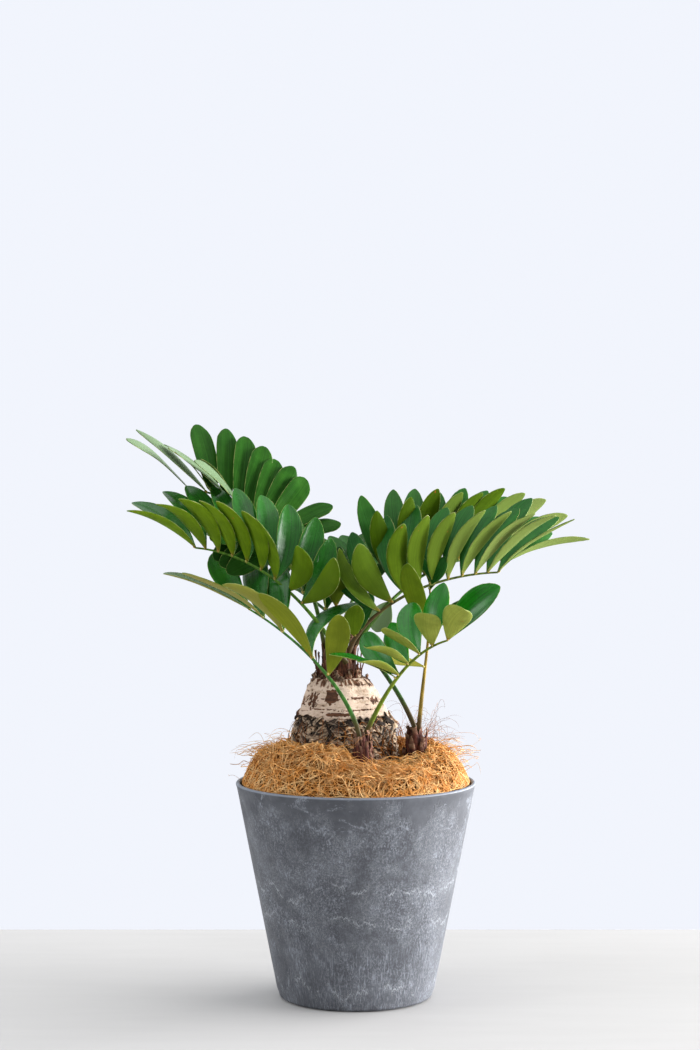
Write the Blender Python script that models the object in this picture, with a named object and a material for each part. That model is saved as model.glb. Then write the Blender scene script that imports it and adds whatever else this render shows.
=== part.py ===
"""A cardboard palm in a tapered grey pot.

Metres, +Z up. The origin is the centre of the pot's underside, and -Y is the side that is seen first.
The pot holds a root ball and a mat of coconut fibre. A short scarred trunk stands in the mat with two
offshoots beside it. Every frond is a rib with two rows of thick leaflets.
"""

import math

import bpy
import numpy as np
from mathutils import Vector, noise

# The pot: a straight taper with a thin rounded rim and an underside with a small rounded edge.
POT_HEIGHT = 0.225
POT_RIM_RADIUS = 0.125
POT_FOOT_RADIUS = 0.0806
POT_WALL = 0.0042
POT_FLOOR = 0.006
POT_SIDES = 56
FIT_GAP = 0.0004

# The root ball ends below the rim and the fibre mat is heaped on it: its height by distance from the axis.
SOIL_TOP = 0.2000
MAT_BOTTOM = 0.2004
MAT_OUT = (0.055, 0.070, 0.085, 0.100, 0.112, 0.1200)
MAT_HEIGHTS = (0.253, 0.261, 0.2585, 0.250, 0.240, 0.2290)

# The trunk: centre and radius by height.
TRUNK_HEIGHTS = (0.2008, 0.228, 0.250, 0.266, 0.277, 0.2865, 0.2895, 0.299, 0.309, 0.319, 0.3275, 0.3335)
TRUNK_RADII = (0.0600, 0.0605, 0.0590, 0.0570, 0.0550, 0.0515, 0.0478, 0.0448, 0.0415, 0.0376, 0.0322, 0.0268)
TRUNK_CENTRES = (
    -0.0085, -0.0085, -0.0088, -0.0095, -0.010, -0.0108, -0.0115, -0.0128, -0.014, -0.015, -0.016, -0.0165,
)
TRUNK_SIDES = 36

# The neck of old leaf scales on the trunk that the upper fronds grow out of.
NECK_CENTRES = (-0.0165, -0.0160, -0.0145, -0.0125, -0.0105, -0.0090)
NECK_DEPTH = 0.0045
NECK_HEIGHTS = (0.3339, 0.340, 0.348, 0.356, 0.3630, 0.3690)
NECK_RADII = (0.0262, 0.0268, 0.0228, 0.0170, 0.0112, 0.0058)
NECK_SCALES = (
    # angle in degrees, distance out, foot height, length, width, lean outwards in degrees
    (196, 0.0235, 0.337, 0.022, 0.0100, 26),
    (168, 0.0240, 0.339, 0.016, 0.0090, 34),
    (228, 0.0225, 0.337, 0.022, 0.0100, 12),
    (262, 0.0195, 0.341, 0.022, 0.0095, 4),
    (296, 0.0185, 0.341, 0.027, 0.0090, 2),
    (330, 0.0195, 0.339, 0.031, 0.0090, 5),
    (2, 0.0225, 0.337, 0.020, 0.0095, 22),
    (40, 0.0225, 0.338, 0.024, 0.0090, 8),
    (82, 0.0225, 0.337, 0.020, 0.0100, 12),
    (128, 0.0230, 0.337, 0.023, 0.0095, 10),
)

# A scale: share of its length, width there as a share of its full width, and thickness there.
SCALE_SHAPE = ((0.0, 0.8, 0.0046), (0.35, 1.0, 0.0040), (0.75, 0.55, 0.0026), (1.0, 0.10, 0.0010))

# The two offshoots in the fibre: centre, foot height, radii up to the tip, and height of each radius.
OFFSHOOTS = {
    "offshoot_front": dict(
        centre=(0.0066, -0.0775),
        heights=(0.222, 0.240, 0.258, 0.270, 0.278, 0.2835),
        radii=(0.0112, 0.0120, 0.0126, 0.0118, 0.0098, 0.0066),
        scales=5,
        turn=20,
    ),
    "offshoot_right": dict(
        centre=(0.0650, -0.0288),
        heights=(0.222, 0.240, 0.258, 0.271, 0.280, 0.2855),
        radii=(0.0106, 0.0114, 0.0120, 0.0112, 0.0092, 0.0062),
        scales=5,
        turn=50,
    ),
}

# A frond: base is where its stalk leaves the plant, azimuth and rise are its heading at base and tip in
# degrees, bend is how late the rise changes, first is the share of the length that is bare stalk, crowd
# spaces the pairs, leaf and width are leaflet sizes at base, middle and tip, sweep is the angle of a
# leaflet to the rib, lift its angle above the frond's plane, and roll turns the frond about its rib. twist
# turns each leaflet about its own length, turn adds to the lift of single leaflets (pair, side), without
# names the ones that have dropped off, and extra adds a leaflet that stands at its own heading.
FRONDS = {
    "frond_left_front": dict(
        base=(-0.016, -0.013, 0.359), azimuth=(165.3, 180.5), rise=(54.6, 5.0), bend=1.613, length=0.194,
        first=0.342, crowd=1.185, pairs=9, leaf=(0.084, 0.087, 0.096), width=(0.0260, 0.0265, 0.0240),
        sweep=(83.3, 47.2), sweep_bend=0.409, lift=(60.1, 36.6), roll=(-14.3, -4.0), twist=(12, 12),
    ),
    "frond_left_high": dict(
        base=(-0.031, 0.009, 0.353), azimuth=(128.6, 174.9), rise=(76.8, 1.9), bend=1.511, length=0.255,
        first=0.539, crowd=0.725, pairs=10, leaf=(0.079, 0.084, 0.098), width=(0.0250, 0.0255, 0.0240),
        sweep=(91.9, 59.1), sweep_bend=0.98, lift=(16.5, 45.7), roll=(-21.4, -8.9), twist=(20, 20),
        without={(5, 1), (6, 1), (9, -1)},
        extra=(dict(at=1.0, azimuth=172, rise=46, length=0.088, width=0.020),),
        turn={(0, 1): -30, (1, 1): -36, (2, 1): -42, (3, 1): -33, (4, 1): -33},
    ),
    "frond_left_low": dict(
        base=(0.003, -0.080, 0.283), azimuth=(153.5, 149.8), rise=(83.2, 25.2), bend=0.478, length=0.181,
        first=0.381, crowd=1.332, pairs=5, leaf=(0.066, 0.094, 0.096), width=(0.0265, 0.0265, 0.0230),
        sweep=(85.0, 27.4), sweep_bend=1.026, lift=(30.9, 18.9), roll=(11.6, -14.7),
        twist=(-40, -4), without={(0, -1)}, turn={(0, 1): 34, (1, -1): 3, (2, -1): -18},
    ),
    "frond_right_high": dict(
        base=(-0.006, -0.006, 0.364), azimuth=(-0.2, 7.9), rise=(74.4, 1.6), bend=0.54, length=0.182,
        first=0.275, crowd=1.12, pairs=10, leaf=(0.090, 0.092, 0.100), width=(0.0250, 0.0252, 0.0220),
        sweep=(91.1, 41.8), sweep_bend=0.681, lift=(56.5, 55.4), roll=(2.3, 1.1), twist=(15, 15),
    ),
    "frond_right_back": dict(
        base=(-0.005, 0.012, 0.359), azimuth=(19.9, 30.2), rise=(54.2, -16.6), bend=1.475, length=0.222,
        first=0.402, crowd=0.935, pairs=10, leaf=(0.096, 0.092, 0.102), width=(0.0240, 0.0245, 0.0210),
        sweep=(79.6, 33.6), sweep_bend=0.571, lift=(81.1, 70.7), roll=(-8.0, -5.8), twist=(8, 8),
        turn={(0, 1): -6, (0, -1): 21, (1, 1): -15, (1, -1): 18, (2, 1): -12, (2, -1): 27},
    ),
    "frond_right_low": dict(
        base=(0.010, -0.074, 0.284), azimuth=(-12.9, -38.3), rise=(64.3, 14.8), bend=1.802, length=0.139,
        first=0.507, crowd=0.91, pairs=5, leaf=(0.056, 0.063, 0.074), width=(0.0250, 0.0285, 0.0285),
        sweep=(91.5, 35.1), sweep_bend=2.185, lift=(45.8, 47.0), roll=(15.3, 20.1), twist=(-20, -20),
        extra=(dict(at=0.475, azimuth=201, rise=21, length=0.077, width=0.017),),
    ),
    "frond_right_small": dict(
        base=(0.0705, -0.0315, 0.283), azimuth=(75.2, 86.4), rise=(82.5, 47.6), bend=1.043, length=0.156,
        first=0.417, crowd=1.148, pairs=3, leaf=(0.062, 0.066, 0.048), width=(0.0200, 0.0220, 0.0180),
        sweep=(94.2, 31.5), sweep_bend=0.7, lift=(53.6, 31.2), roll=(3.8, 3.9),
        twist=(15, 15), without={(0, -1)}, turn={(1, 1): -18},
    ),
    "frond_back_left": dict(
        base=(0.060, -0.025, 0.286), azimuth=(132.0, 131.8), rise=(61.8, 14.5), bend=0.578, length=0.290,
        first=0.619, crowd=1.079, pairs=7, leaf=(0.088, 0.080, 0.088), width=(0.0225, 0.0235, 0.0200),
        sweep=(61.2, 40.7), sweep_bend=1.0, lift=(67.5, 31.7), roll=(-0.5, 0.4), twist=(15, 15),
        turn={(0, 1): -3},
    ),
    "frond_centre": dict(
        base=(-0.019, 0.008, 0.3655), azimuth=(96.0, 88.0), rise=(76.0, 24.0), bend=1.0, length=0.105,
        first=0.36, crowd=1.0, pairs=4, leaf=(0.062, 0.064, 0.060), width=(0.0235, 0.0235, 0.0215),
        sweep=(95.0, 48.0), sweep_bend=1.0, lift=(34.0, 30.0), roll=(0.0, 0.0), twist=(12, 12),
        without={(0, 1)}, turn={(0, -1): -6, (2, 1): 27, (3, -1): 6},
    ),
    "frond_back": dict(
        base=(-0.020, 0.026, 0.357), azimuth=(74.0, 62.0), rise=(56.0, -14.0), bend=1.0, length=0.215,
        first=0.44, crowd=1.08, pairs=9, leaf=(0.080, 0.088, 0.090), width=(0.0235, 0.0240, 0.0200),
        sweep=(84.0, 40.0), sweep_bend=0.7, lift=(38.0, 34.0), roll=(0.0, 0.0), twist=(15, 15),
        turn={(0, 1): -39},
    ),
}

STALK_RADIUS = 0.0027
RIB_RADIUS = 0.0017
RIB_TIP_RADIUS = 0.0010
STALK_ROOT = 0.012
LEAF_THICKNESS = 0.0013
LEAF_STATIONS = (0.0, 0.16, 0.42, 0.74, 0.96)
LEAF_BOW = -0.055
LEAF_ARCH = 0.045


def clear_scene():
    for old in list(bpy.data.objects):
        bpy.data.objects.remove(old, do_unlink=True)


def plain_material(name, colour, roughness):
    material = bpy.data.materials.new(name)
    material.use_nodes = True
    shader = material.node_tree.nodes["Principled BSDF"]
    shader.inputs["Base Color"].default_value = (*colour, 1.0)
    shader.inputs["Roughness"].default_value = roughness
    return material


def solid(name, points, faces, material):
    mesh = bpy.data.meshes.new(name)
    mesh.from_pydata([tuple(map(float, p)) for p in points], [], [tuple(map(int, f)) for f in faces])
    mesh.materials.append(material)
    made = bpy.data.objects.new(name, mesh)
    bpy.context.scene.collection.objects.link(made)
    return made


def combine(body, others, operation):
    """Joins the other solids to the body, or cuts them from it, and removes them."""
    group = bpy.data.collections.new(body.name + "_others")
    bpy.context.scene.collection.children.link(group)
    for other in others:
        bpy.context.scene.collection.objects.unlink(other)
        group.objects.link(other)
    step = body.modifiers.new("combine", "BOOLEAN")
    step.operation = operation
    step.operand_type = "COLLECTION"
    step.collection = group
    step.solver = "MANIFOLD"
    graph = bpy.context.evaluated_depsgraph_get()
    result = bpy.data.meshes.new_from_object(body.evaluated_get(graph))
    body.modifiers.clear()
    body.data = result
    for other in others:
        bpy.data.objects.remove(other, do_unlink=True)
    bpy.data.collections.remove(group)


def keep_largest(body):
    """Removes the loose crumbs that a cut leaves beside the main piece."""
    mesh = body.data
    owner = list(range(len(mesh.vertices)))

    def root_of(v):
        while owner[v] != v:
            owner[v] = owner[owner[v]]
            v = owner[v]
        return v

    for edge in mesh.edges:
        a, b = (root_of(v) for v in edge.vertices)
        owner[a] = b
    groups = {}
    for v in range(len(mesh.vertices)):
        groups.setdefault(root_of(v), []).append(v)
    kept = sorted(max(groups.values(), key=len))
    if len(kept) == len(mesh.vertices):
        return
    place = {v: i for i, v in enumerate(kept)}
    points = [tuple(mesh.vertices[v].co) for v in kept]
    faces = [[place[v] for v in face.vertices] for face in mesh.polygons if face.vertices[0] in place]
    fresh = bpy.data.meshes.new(mesh.name + "_main")
    fresh.from_pydata(points, [], faces)
    fresh.materials.append(mesh.materials[0])
    body.data = fresh


def stacked_rings(rings):
    """Points and faces of a closed solid from rings of points, lowest first, anticlockwise from above."""
    count = len(rings[0])
    points = np.concatenate(rings)
    faces = [list(range(count))[::-1]]
    for i in range(len(rings) - 1):
        low, high = i * count, (i + 1) * count
        for k in range(count):
            after = (k + 1) % count
            faces.append([low + k, low + after, high + after, high + k])
    top = (len(rings) - 1) * count
    faces.append([top + k for k in range(count)])
    return points, faces


def disc_revolved(profile, sides):
    """Points and faces of an open (radius, height) profile turned about the Z axis, closed by flat ends."""
    rings = []
    angles = 2 * np.pi * np.arange(sides) / sides
    for r, z in profile:
        rings.append(np.stack([r * np.cos(angles), r * np.sin(angles), np.full(sides, z)], 1))
    return stacked_rings(rings)


def pot_radius(z):
    return POT_FOOT_RADIUS + (POT_RIM_RADIUS - POT_FOOT_RADIUS) * z / POT_HEIGHT


def build_pot(material):
    outer = [
        (POT_FOOT_RADIUS - 0.0045, 0.0),
        (POT_FOOT_RADIUS - 0.0015, 0.0012),
        (pot_radius(0.0045), 0.0045),
        (pot_radius(0.110), 0.110),
        (pot_radius(0.2225), 0.2225),
        (POT_RIM_RADIUS - 0.0005, 0.2242),
        (POT_RIM_RADIUS - 0.0018, POT_HEIGHT),
        (POT_RIM_RADIUS - 0.0033, POT_HEIGHT - 0.0006),
        (POT_RIM_RADIUS - POT_WALL, 0.2225),
        (pot_radius(0.110) - POT_WALL, 0.110),
        (pot_radius(POT_FLOOR) - POT_WALL, POT_FLOOR),
    ]
    points, faces = disc_revolved(outer, POT_SIDES)
    return solid("pot", points, faces, material)


def build_soil(material):
    inner = [
        (pot_radius(POT_FLOOR) - POT_WALL - FIT_GAP - 0.0002, POT_FLOOR + FIT_GAP),
        (pot_radius(0.110) - POT_WALL - FIT_GAP, 0.110),
        (pot_radius(SOIL_TOP) - POT_WALL - FIT_GAP, SOIL_TOP),
    ]
    points, faces = disc_revolved(inner, POT_SIDES)
    return solid("soil", points, faces, material)


def trunk_wave(z, angle):
    """How far the trunk swells out of round, as a share of its radius."""
    z = max(z, TRUNK_HEIGHTS[2])
    slow = 0.028 * math.sin(2 * angle + 0.7) + 0.020 * math.sin(5 * angle + 31 * z)
    return slow + 0.016 * math.sin(9 * angle - 55 * z)


def trunk_ring(z, extra, sides):
    radius = float(np.interp(z, TRUNK_HEIGHTS, TRUNK_RADII))
    centre = float(np.interp(z, TRUNK_HEIGHTS, TRUNK_CENTRES))
    ring = []
    for k in range(sides):
        angle = 2 * math.pi * k / sides
        r = radius * (1 + trunk_wave(z, angle)) + extra
        ring.append((centre + r * math.cos(angle), r * math.sin(angle), z))
    return np.array(ring)


def build_trunk(material):
    points, faces = stacked_rings([trunk_ring(z, 0.0, TRUNK_SIDES) for z in TRUNK_HEIGHTS])
    return solid("trunk", points, faces, material)


def mat_height(x, y):
    """Height of the heaped fibre at a place: low at the rim, high round the trunk, lumpy all over."""
    out = math.hypot(x, y)
    rise = np.interp(out, MAT_OUT, MAT_HEIGHTS)
    lump = 0.0065 * noise.noise(Vector((x * 34, y * 34, 1.7)))
    lump += 0.003 * noise.noise(Vector((x * 80, y * 80, 4.1)))
    fade = np.interp(out, (0.100, 0.1200), (1.0, 0.25))
    return float(rise) + lump * float(fade)


def build_mat(material):
    """A lumpy ring of fibre, with its inner wall following the trunk."""
    sides = TRUNK_SIDES
    wall_gap = POT_WALL + FIT_GAP
    foot_in = trunk_ring(TRUNK_HEIGHTS[0], 0.0009, sides)
    foot_in[:, 2] = MAT_BOTTOM
    head_in = trunk_ring(TRUNK_HEIGHTS[2], 0.0009, sides)
    angles = 2 * np.pi * np.arange(sides) / sides
    rows = [foot_in, trunk_ring(TRUNK_HEIGHTS[1], 0.0009, sides), head_in]
    for share in (0.0, 0.3, 0.6, 0.85, 1.0):
        ring = []
        for k in range(sides):
            start = head_in[k, :2] + 0.006 * np.array([math.cos(angles[k]), math.sin(angles[k])])
            end = 0.1200 * np.array([math.cos(angles[k]), math.sin(angles[k])])
            x, y = start + (end - start) * share
            ring.append((x, y, mat_height(x, y)))
        rows.append(np.array(ring))
    for z in (0.2215, MAT_BOTTOM):
        r = pot_radius(z) - wall_gap
        rows.append(np.stack([r * np.cos(angles), r * np.sin(angles), np.full(sides, z)], 1))
    count = len(rows)
    points = np.concatenate(rows)
    faces = []
    for i in range(count):
        here, there = i * sides, (i + 1) % count * sides
        for k in range(sides):
            after = (k + 1) % sides
            faces.append([here + k, here + after, there + after, there + k])
    mat = solid("coir_mat", points, [face[::-1] for face in faces], material)
    return mat


def pointed_scale(foot, angle, length, width, lean, material):
    """A four-sided pointed scale that leans outwards."""
    out = np.array([math.cos(angle), math.sin(angle), 0.0])
    across = np.array([-math.sin(angle), math.cos(angle), 0.0])
    up = np.array([0.0, 0.0, 1.0])
    axis = math.cos(lean) * up + math.sin(lean) * out
    face = math.cos(lean) * out - math.sin(lean) * up
    rings = []
    for share, wide, thick in SCALE_SHAPE:
        centre = foot + axis * length * share
        half_wide = across * width * wide / 2
        half_thick = face * thick / 2
        corners = [centre - half_wide, centre + half_thick, centre + half_wide, centre - half_thick]
        rings.append(np.array(corners))
    points, faces = stacked_rings(rings)
    return solid("scale", points, faces, material)


def stalk_cutters(fronds, material):
    """Tubes a little wider than the stalks that leave each crown, to cut their sockets."""
    cutters = []
    for frond in fronds:
        share, points = (values[::3] for values in rib_line(frond))
        centre = points[share <= 0.36]
        start = centre[0] - unit(centre[1] - centre[0]) * (STALK_ROOT + 0.0006)
        line = np.vstack([start, centre])
        radii = np.full(len(line), STALK_RADIUS * 1.08 + 0.0004)
        cutters.append(solid("socket", *tube(line, radii, 8), material))
    return cutters


def build_neck(material):
    rings = []
    for z, r, centre in zip(NECK_HEIGHTS, NECK_RADII, NECK_CENTRES):
        ring = []
        for k in range(18):
            angle = 2 * math.pi * k / 18
            wide = r * (1 + 0.05 * math.sin(3 * angle + 60 * z) + 0.03 * math.sin(7 * angle))
            ring.append((centre + wide * math.cos(angle), NECK_DEPTH + wide * math.sin(angle), z))
        rings.append(np.array(ring))
    neck = solid("neck", *stacked_rings(rings), material)
    scales = []
    for angle, out, foot, length, width, lean in NECK_SCALES:
        turn = math.radians(angle)
        place = np.array([NECK_CENTRES[1] + out * math.cos(turn), NECK_DEPTH + out * math.sin(turn), foot])
        scales.append(pointed_scale(place, turn, length, width, math.radians(lean), material))
    combine(neck, scales, "UNION")
    upper = [frond for frond in FRONDS.values() if frond["base"][2] > 0.33]
    combine(neck, stalk_cutters(upper, material), "DIFFERENCE")
    keep_largest(neck)
    return neck


def build_offshoot(name, spec, material):
    rings = []
    cx, cy = spec["centre"]
    for z, r in zip(spec["heights"], spec["radii"]):
        angles = 2 * np.pi * np.arange(14) / 14
        wide = r * (1 + 0.05 * np.sin(3 * angles + 90 * z))
        rings.append(np.stack([cx + wide * np.cos(angles), cy + wide * np.sin(angles), np.full(14, z)], 1))
    offshoot = solid(name, *stacked_rings(rings), material)
    scales = []
    for k in range(spec["scales"]):
        angle = math.radians(spec["turn"] + 360 * k / spec["scales"])
        place = np.array([cx + 0.0095 * math.cos(angle), cy + 0.0095 * math.sin(angle), 0.262])
        length = 0.024 + 0.004 * math.sin(5 * k)
        scales.append(pointed_scale(place, angle, length, 0.0085, math.radians(7), material))
    combine(offshoot, scales, "UNION")
    own = [f for f in FRONDS.values() if math.hypot(f["base"][0] - cx, f["base"][1] - cy) < 0.02]
    combine(offshoot, stalk_cutters(own, material), "DIFFERENCE")
    keep_largest(offshoot)
    return offshoot


def unit(vector):
    return vector / np.linalg.norm(vector)


def pointing(azimuth, rise):
    """The direction at an azimuth and a rise, both in radians."""
    return np.array([math.cos(rise) * math.cos(azimuth), math.cos(rise) * math.sin(azimuth), math.sin(rise)])


def rib_line(frond, pieces=42):
    """Shares of the length, and the points of the rib's centre line there."""
    share = np.linspace(0, 1, pieces + 1)
    middle = (share[:-1] + share[1:]) / 2
    azimuth = np.radians(frond["azimuth"][0] + (frond["azimuth"][1] - frond["azimuth"][0]) * middle)
    rise = np.radians(frond["rise"][0] + (frond["rise"][1] - frond["rise"][0]) * middle ** frond["bend"])
    heading = np.stack([np.cos(rise) * np.cos(azimuth), np.cos(rise) * np.sin(azimuth), np.sin(rise)], 1)
    steps = np.cumsum(heading, 0) * frond["length"] / pieces
    return share, np.vstack([[0, 0, 0], steps]) + np.array(frond["base"])


def tube(line, radii, sides):
    """Points and faces of a round bar along a line, closed by flat ends."""
    line = np.asarray(line, float)
    rings = []
    side = None
    for i, point in enumerate(line):
        before, after = line[max(i - 1, 0)], line[min(i + 1, len(line) - 1)]
        along = unit(after - before)
        if side is None:
            side = unit(np.cross(along, (0.31, 0.92, 0.24)))
        side = unit(side - along * np.dot(side, along))
        other = np.cross(along, side)
        angles = 2 * np.pi * np.arange(sides) / sides
        rings.append(point + radii[i] * (np.outer(np.cos(angles), side) + np.outer(np.sin(angles), other)))
    return stacked_rings(rings)


def three(values, q):
    """A size given at base, middle and tip, at a share of the way."""
    return values[0] * (1 - q) * (1 - 2 * q) + values[1] * 4 * q * (1 - q) + values[2] * q * (2 * q - 1)


def two(values, q):
    return values[0] + (values[1] - values[0]) * q


def leaflet_list(frond):
    """Every leaflet of a frond: its root, direction, upper side and sizes."""
    shares, points = rib_line(frond)
    found = []
    for k in range(frond["pairs"]):
        q = k / (frond["pairs"] - 1)
        at = frond["first"] + (1 - frond["first"]) * (1 - (1 - q) ** frond["crowd"])
        root = np.array([np.interp(at, shares, points[:, i]) for i in range(3)])
        azimuth = math.radians(two(frond["azimuth"], at))
        rise = math.radians(two(frond["rise"], at ** frond["bend"]))
        heading = pointing(azimuth, rise)
        level = np.array([-math.sin(azimuth), math.cos(azimuth), 0.0])
        above = np.cross(heading, level)
        roll = math.radians(two(frond["roll"], q))
        across = math.cos(roll) * level + math.sin(roll) * above
        above = math.cos(roll) * above - math.sin(roll) * level
        for hand in (1, -1):
            if (k, hand) in frond.get("without", ()):
                continue
            lift = math.radians(two(frond["lift"], q) + frond.get("turn", {}).get((k, hand), 0.0))
            sweep = math.radians(two(frond["sweep"], q ** frond["sweep_bend"]))
            outward = math.cos(lift) * hand * across + math.sin(lift) * above
            way = math.cos(sweep) * heading + math.sin(sweep) * outward
            upper = -math.sin(lift) * hand * across + math.cos(lift) * above
            distal = -hand * np.cross(upper, way)
            twist = math.radians(two(frond["twist"], q))
            upper, distal = (
                math.cos(twist) * upper - math.sin(twist) * distal,
                math.cos(twist) * distal + math.sin(twist) * upper,
            )
            found.append(dict(
                pair=k, hand=hand, root=root, way=way, upper=upper, distal=distal,
                length=three(frond["leaf"], q), width=three(frond["width"], q),
            ))
    for number, single in enumerate(frond.get("extra", ())):
        root = np.array([np.interp(single["at"], shares, points[:, i]) for i in range(3)])
        azimuth, rise = math.radians(single["azimuth"]), math.radians(single["rise"])
        level = np.array([-math.sin(azimuth), math.cos(azimuth), 0.0])
        way = pointing(azimuth, rise)
        found.append(dict(
            pair=-1 - number, hand=-1, root=root, way=way, upper=np.cross(way, level), distal=level,
            length=single["length"], width=single["width"],
        ))
    return found


def leaf_half_width(u):
    """Half the width of a leaflet at a share of its length, as a share of its full width."""
    return 0.5 * math.sin(math.pi * u ** 1.36) ** 0.6


def leaflet_shape(leaf):
    """Points and faces of one leaflet: a thin blade, narrow at its root, blunt at its tip, slightly bent."""
    rings = []
    length = leaf["length"]
    for u in LEAF_STATIONS:
        swell = 4 * u * (1 - u)
        centre = leaf["root"] + leaf["way"] * (length * u - (0.0006 if u == 0 else 0.0))
        centre = centre + (leaf["distal"] * LEAF_BOW + leaf["upper"] * LEAF_ARCH) * length * swell
        slope = LEAF_ARCH * 4 * (1 - 2 * u)
        normal = unit(leaf["upper"] - leaf["way"] * slope)
        half_wide = max(leaf["width"] * leaf_half_width(u), 0.0014) * leaf["distal"]
        half_thick = normal * LEAF_THICKNESS / 2 * (0.8 if u > 0.9 else 1.0)
        corners = [
            centre - half_wide - half_thick,
            centre + half_wide - half_thick,
            centre + half_wide + half_thick,
            centre - half_wide + half_thick,
        ]
        rings.append(np.array(corners[::-leaf["hand"]]))
    return stacked_rings(rings)


def build_frond(name, frond, material):
    shares, points = (values[::3] for values in rib_line(frond))
    start = points[0] - unit(points[1] - points[0]) * STALK_ROOT
    end = points[-1] + unit(points[-1] - points[-2]) * 0.0022
    line = np.vstack([start, points, end])
    along = np.concatenate([[0.0], shares, [1.0]])
    radii = np.interp(along, (0, frond["first"], 1), (STALK_RADIUS, RIB_RADIUS, RIB_TIP_RADIUS))
    rib = solid(name, *tube(line, radii, 6), material)
    leaves = [solid("leaf", *leaflet_shape(leaf), material) for leaf in leaflet_list(frond)]
    combine(rib, leaves, "UNION")
    return rib


def build_all():
    clear_scene()
    pot_grey = plain_material("pot_grey", (0.16, 0.17, 0.19), 0.75)
    soil_brown = plain_material("soil_brown", (0.06, 0.04, 0.025), 0.95)
    coir_gold = plain_material("coir_gold", (0.52, 0.33, 0.14), 0.95)
    bark_buff = plain_material("bark_buff", (0.42, 0.34, 0.25), 0.9)
    scale_brown = plain_material("scale_brown", (0.13, 0.06, 0.035), 0.85)
    leaf_green = plain_material("leaf_green", (0.06, 0.17, 0.04), 0.45)
    build_pot(pot_grey)
    build_soil(soil_brown)
    build_trunk(bark_buff)
    build_neck(scale_brown)
    for name, spec in OFFSHOOTS.items():
        build_offshoot(name, spec, scale_brown)
    mat = build_mat(coir_gold)
    holes = []
    for spec in OFFSHOOTS.values():
        cx, cy = spec["centre"]
        profile = [(0.0138, 0.2215), (0.0138, 0.32)]
        points, faces = disc_revolved(profile, 16)
        points = np.asarray(points) + np.array([cx, cy, 0.0])
        holes.append(solid("hole", points, faces, coir_gold))
    combine(mat, holes, "DIFFERENCE")
    for name, frond in FRONDS.items():
        build_frond(name, frond, leaf_green)


build_all()
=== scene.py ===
import math

import bpy
import numpy as np
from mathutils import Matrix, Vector, noise


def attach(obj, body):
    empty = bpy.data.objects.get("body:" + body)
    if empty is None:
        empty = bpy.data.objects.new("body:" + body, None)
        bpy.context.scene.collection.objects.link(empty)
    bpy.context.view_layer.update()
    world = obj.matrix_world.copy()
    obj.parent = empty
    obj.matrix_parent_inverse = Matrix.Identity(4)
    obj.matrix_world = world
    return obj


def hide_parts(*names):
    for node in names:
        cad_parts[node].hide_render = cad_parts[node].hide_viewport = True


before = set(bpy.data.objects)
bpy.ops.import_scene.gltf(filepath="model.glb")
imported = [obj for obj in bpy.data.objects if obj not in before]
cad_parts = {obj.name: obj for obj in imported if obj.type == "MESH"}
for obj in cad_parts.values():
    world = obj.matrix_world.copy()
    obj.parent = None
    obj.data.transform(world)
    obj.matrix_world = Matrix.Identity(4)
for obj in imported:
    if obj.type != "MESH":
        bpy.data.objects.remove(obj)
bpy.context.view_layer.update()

# Named sizes, in metres unless a comment says otherwise, as in the part's source.

POT_HEIGHT = 0.225
POT_RIM_RADIUS = 0.125
POT_FOOT_RADIUS = 0.0806
POT_FOOT_ROUND = 0.005
POT_LIP = 0.0022
POT_LIP_HEIGHT = 0.002
POT_WALL = 0.0042
POT_FLOOR = 0.006

TRUNK_HEIGHTS = (0.2008, 0.228, 0.25, 0.266, 0.277, 0.2865, 0.2895, 0.299, 0.309, 0.319, 0.3275, 0.3335)
TRUNK_RADII = (0.06, 0.0605, 0.059, 0.057, 0.055, 0.0515, 0.0478, 0.0448, 0.0415, 0.0376, 0.0322, 0.0268)
TRUNK_CENTRES = (
    -0.0085, -0.0085, -0.0088, -0.0095, -0.01, -0.0108, -0.0115, -0.0128, -0.014, -0.015, -0.016, -0.0165,
)
BARK_FOOT = 0.218
BARK_SIDES, BARK_ROWS = 360, 190
BARK_SEED = 1
PLATES = 430
NECK_CENTRE = (-0.0178, 0.0045)
NECK_SCRAPS = 190
# Name, middle, and turn of the first scale in degrees.
OFFSHOOTS = (("offshoot_front", (0.0066, -0.0775), 20), ("offshoot_right", (0.0612, -0.03), 50))

MAT_OUT = (0.055, 0.07, 0.085, 0.1, 0.112, 0.12)
MAT_HEIGHTS = (0.253, 0.261, 0.2585, 0.25, 0.24, 0.229)
MAT_PUFF = (0, 0, 0.0015, 0.0005, -0.0025, -0.004)
MAT_CELLS = 140
MAT_REACH = 0.13
FIBRE_REACH = 0.1185
STRAY_REACH = 0.132

STALK_RADIUS = 0.0027
RIB_RADIUS = 0.0017
RIB_TIP_RADIUS = 0.001
STALK_ROOT = 0.012
# Bow and arch are shares of a leaflet's length, the cup is a share of its half width.
LEAF_BOW = -0.055
LEAF_ARCH = 0.045
LEAF_BLUNT = (1.36, 0.6)
LEAF_CUP = (0.02, 0.2)
LEAF_ROWS, LEAF_COLUMNS = 22, 9
# A leaflet's pale amount, times PALE, is added to its random shade value. Above zero it mixes in a pale
# colour, and the two below are painted light: the sheen of leaflets seen edge-on and the light on undersides
# lit from the right. Below zero it darkens the leaflet with painted shade.
PALE = 4.0
PAINTED_LIGHT_UNDER = (0.28, 0.35, 0.11)
PAINTED_LIGHT_UPPER = (0.25, 0.33, 0.2)
UP = np.array([0.0, 0.0, 1.0])


def fit(lean=0, turn=0, spin=0, long=1, wide=1, bow=None, pale=0):
    """How one leaflet departs from its frond's rule. lean, turn and spin are degrees."""
    return lean, turn, spin, long, wide, bow, pale


def single(at, azimuth, rise, length, width, spin=0, bow=LEAF_BOW, pale=0):
    """A leaflet outside the two rows: its place on the rib, its direction and its sizes in millimetres."""
    return dict(
        at=at, azimuth=azimuth, rise=rise, length=length / 1000, width=width / 1000, spin=spin, bow=bow,
        pale=pale,
    )
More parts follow.
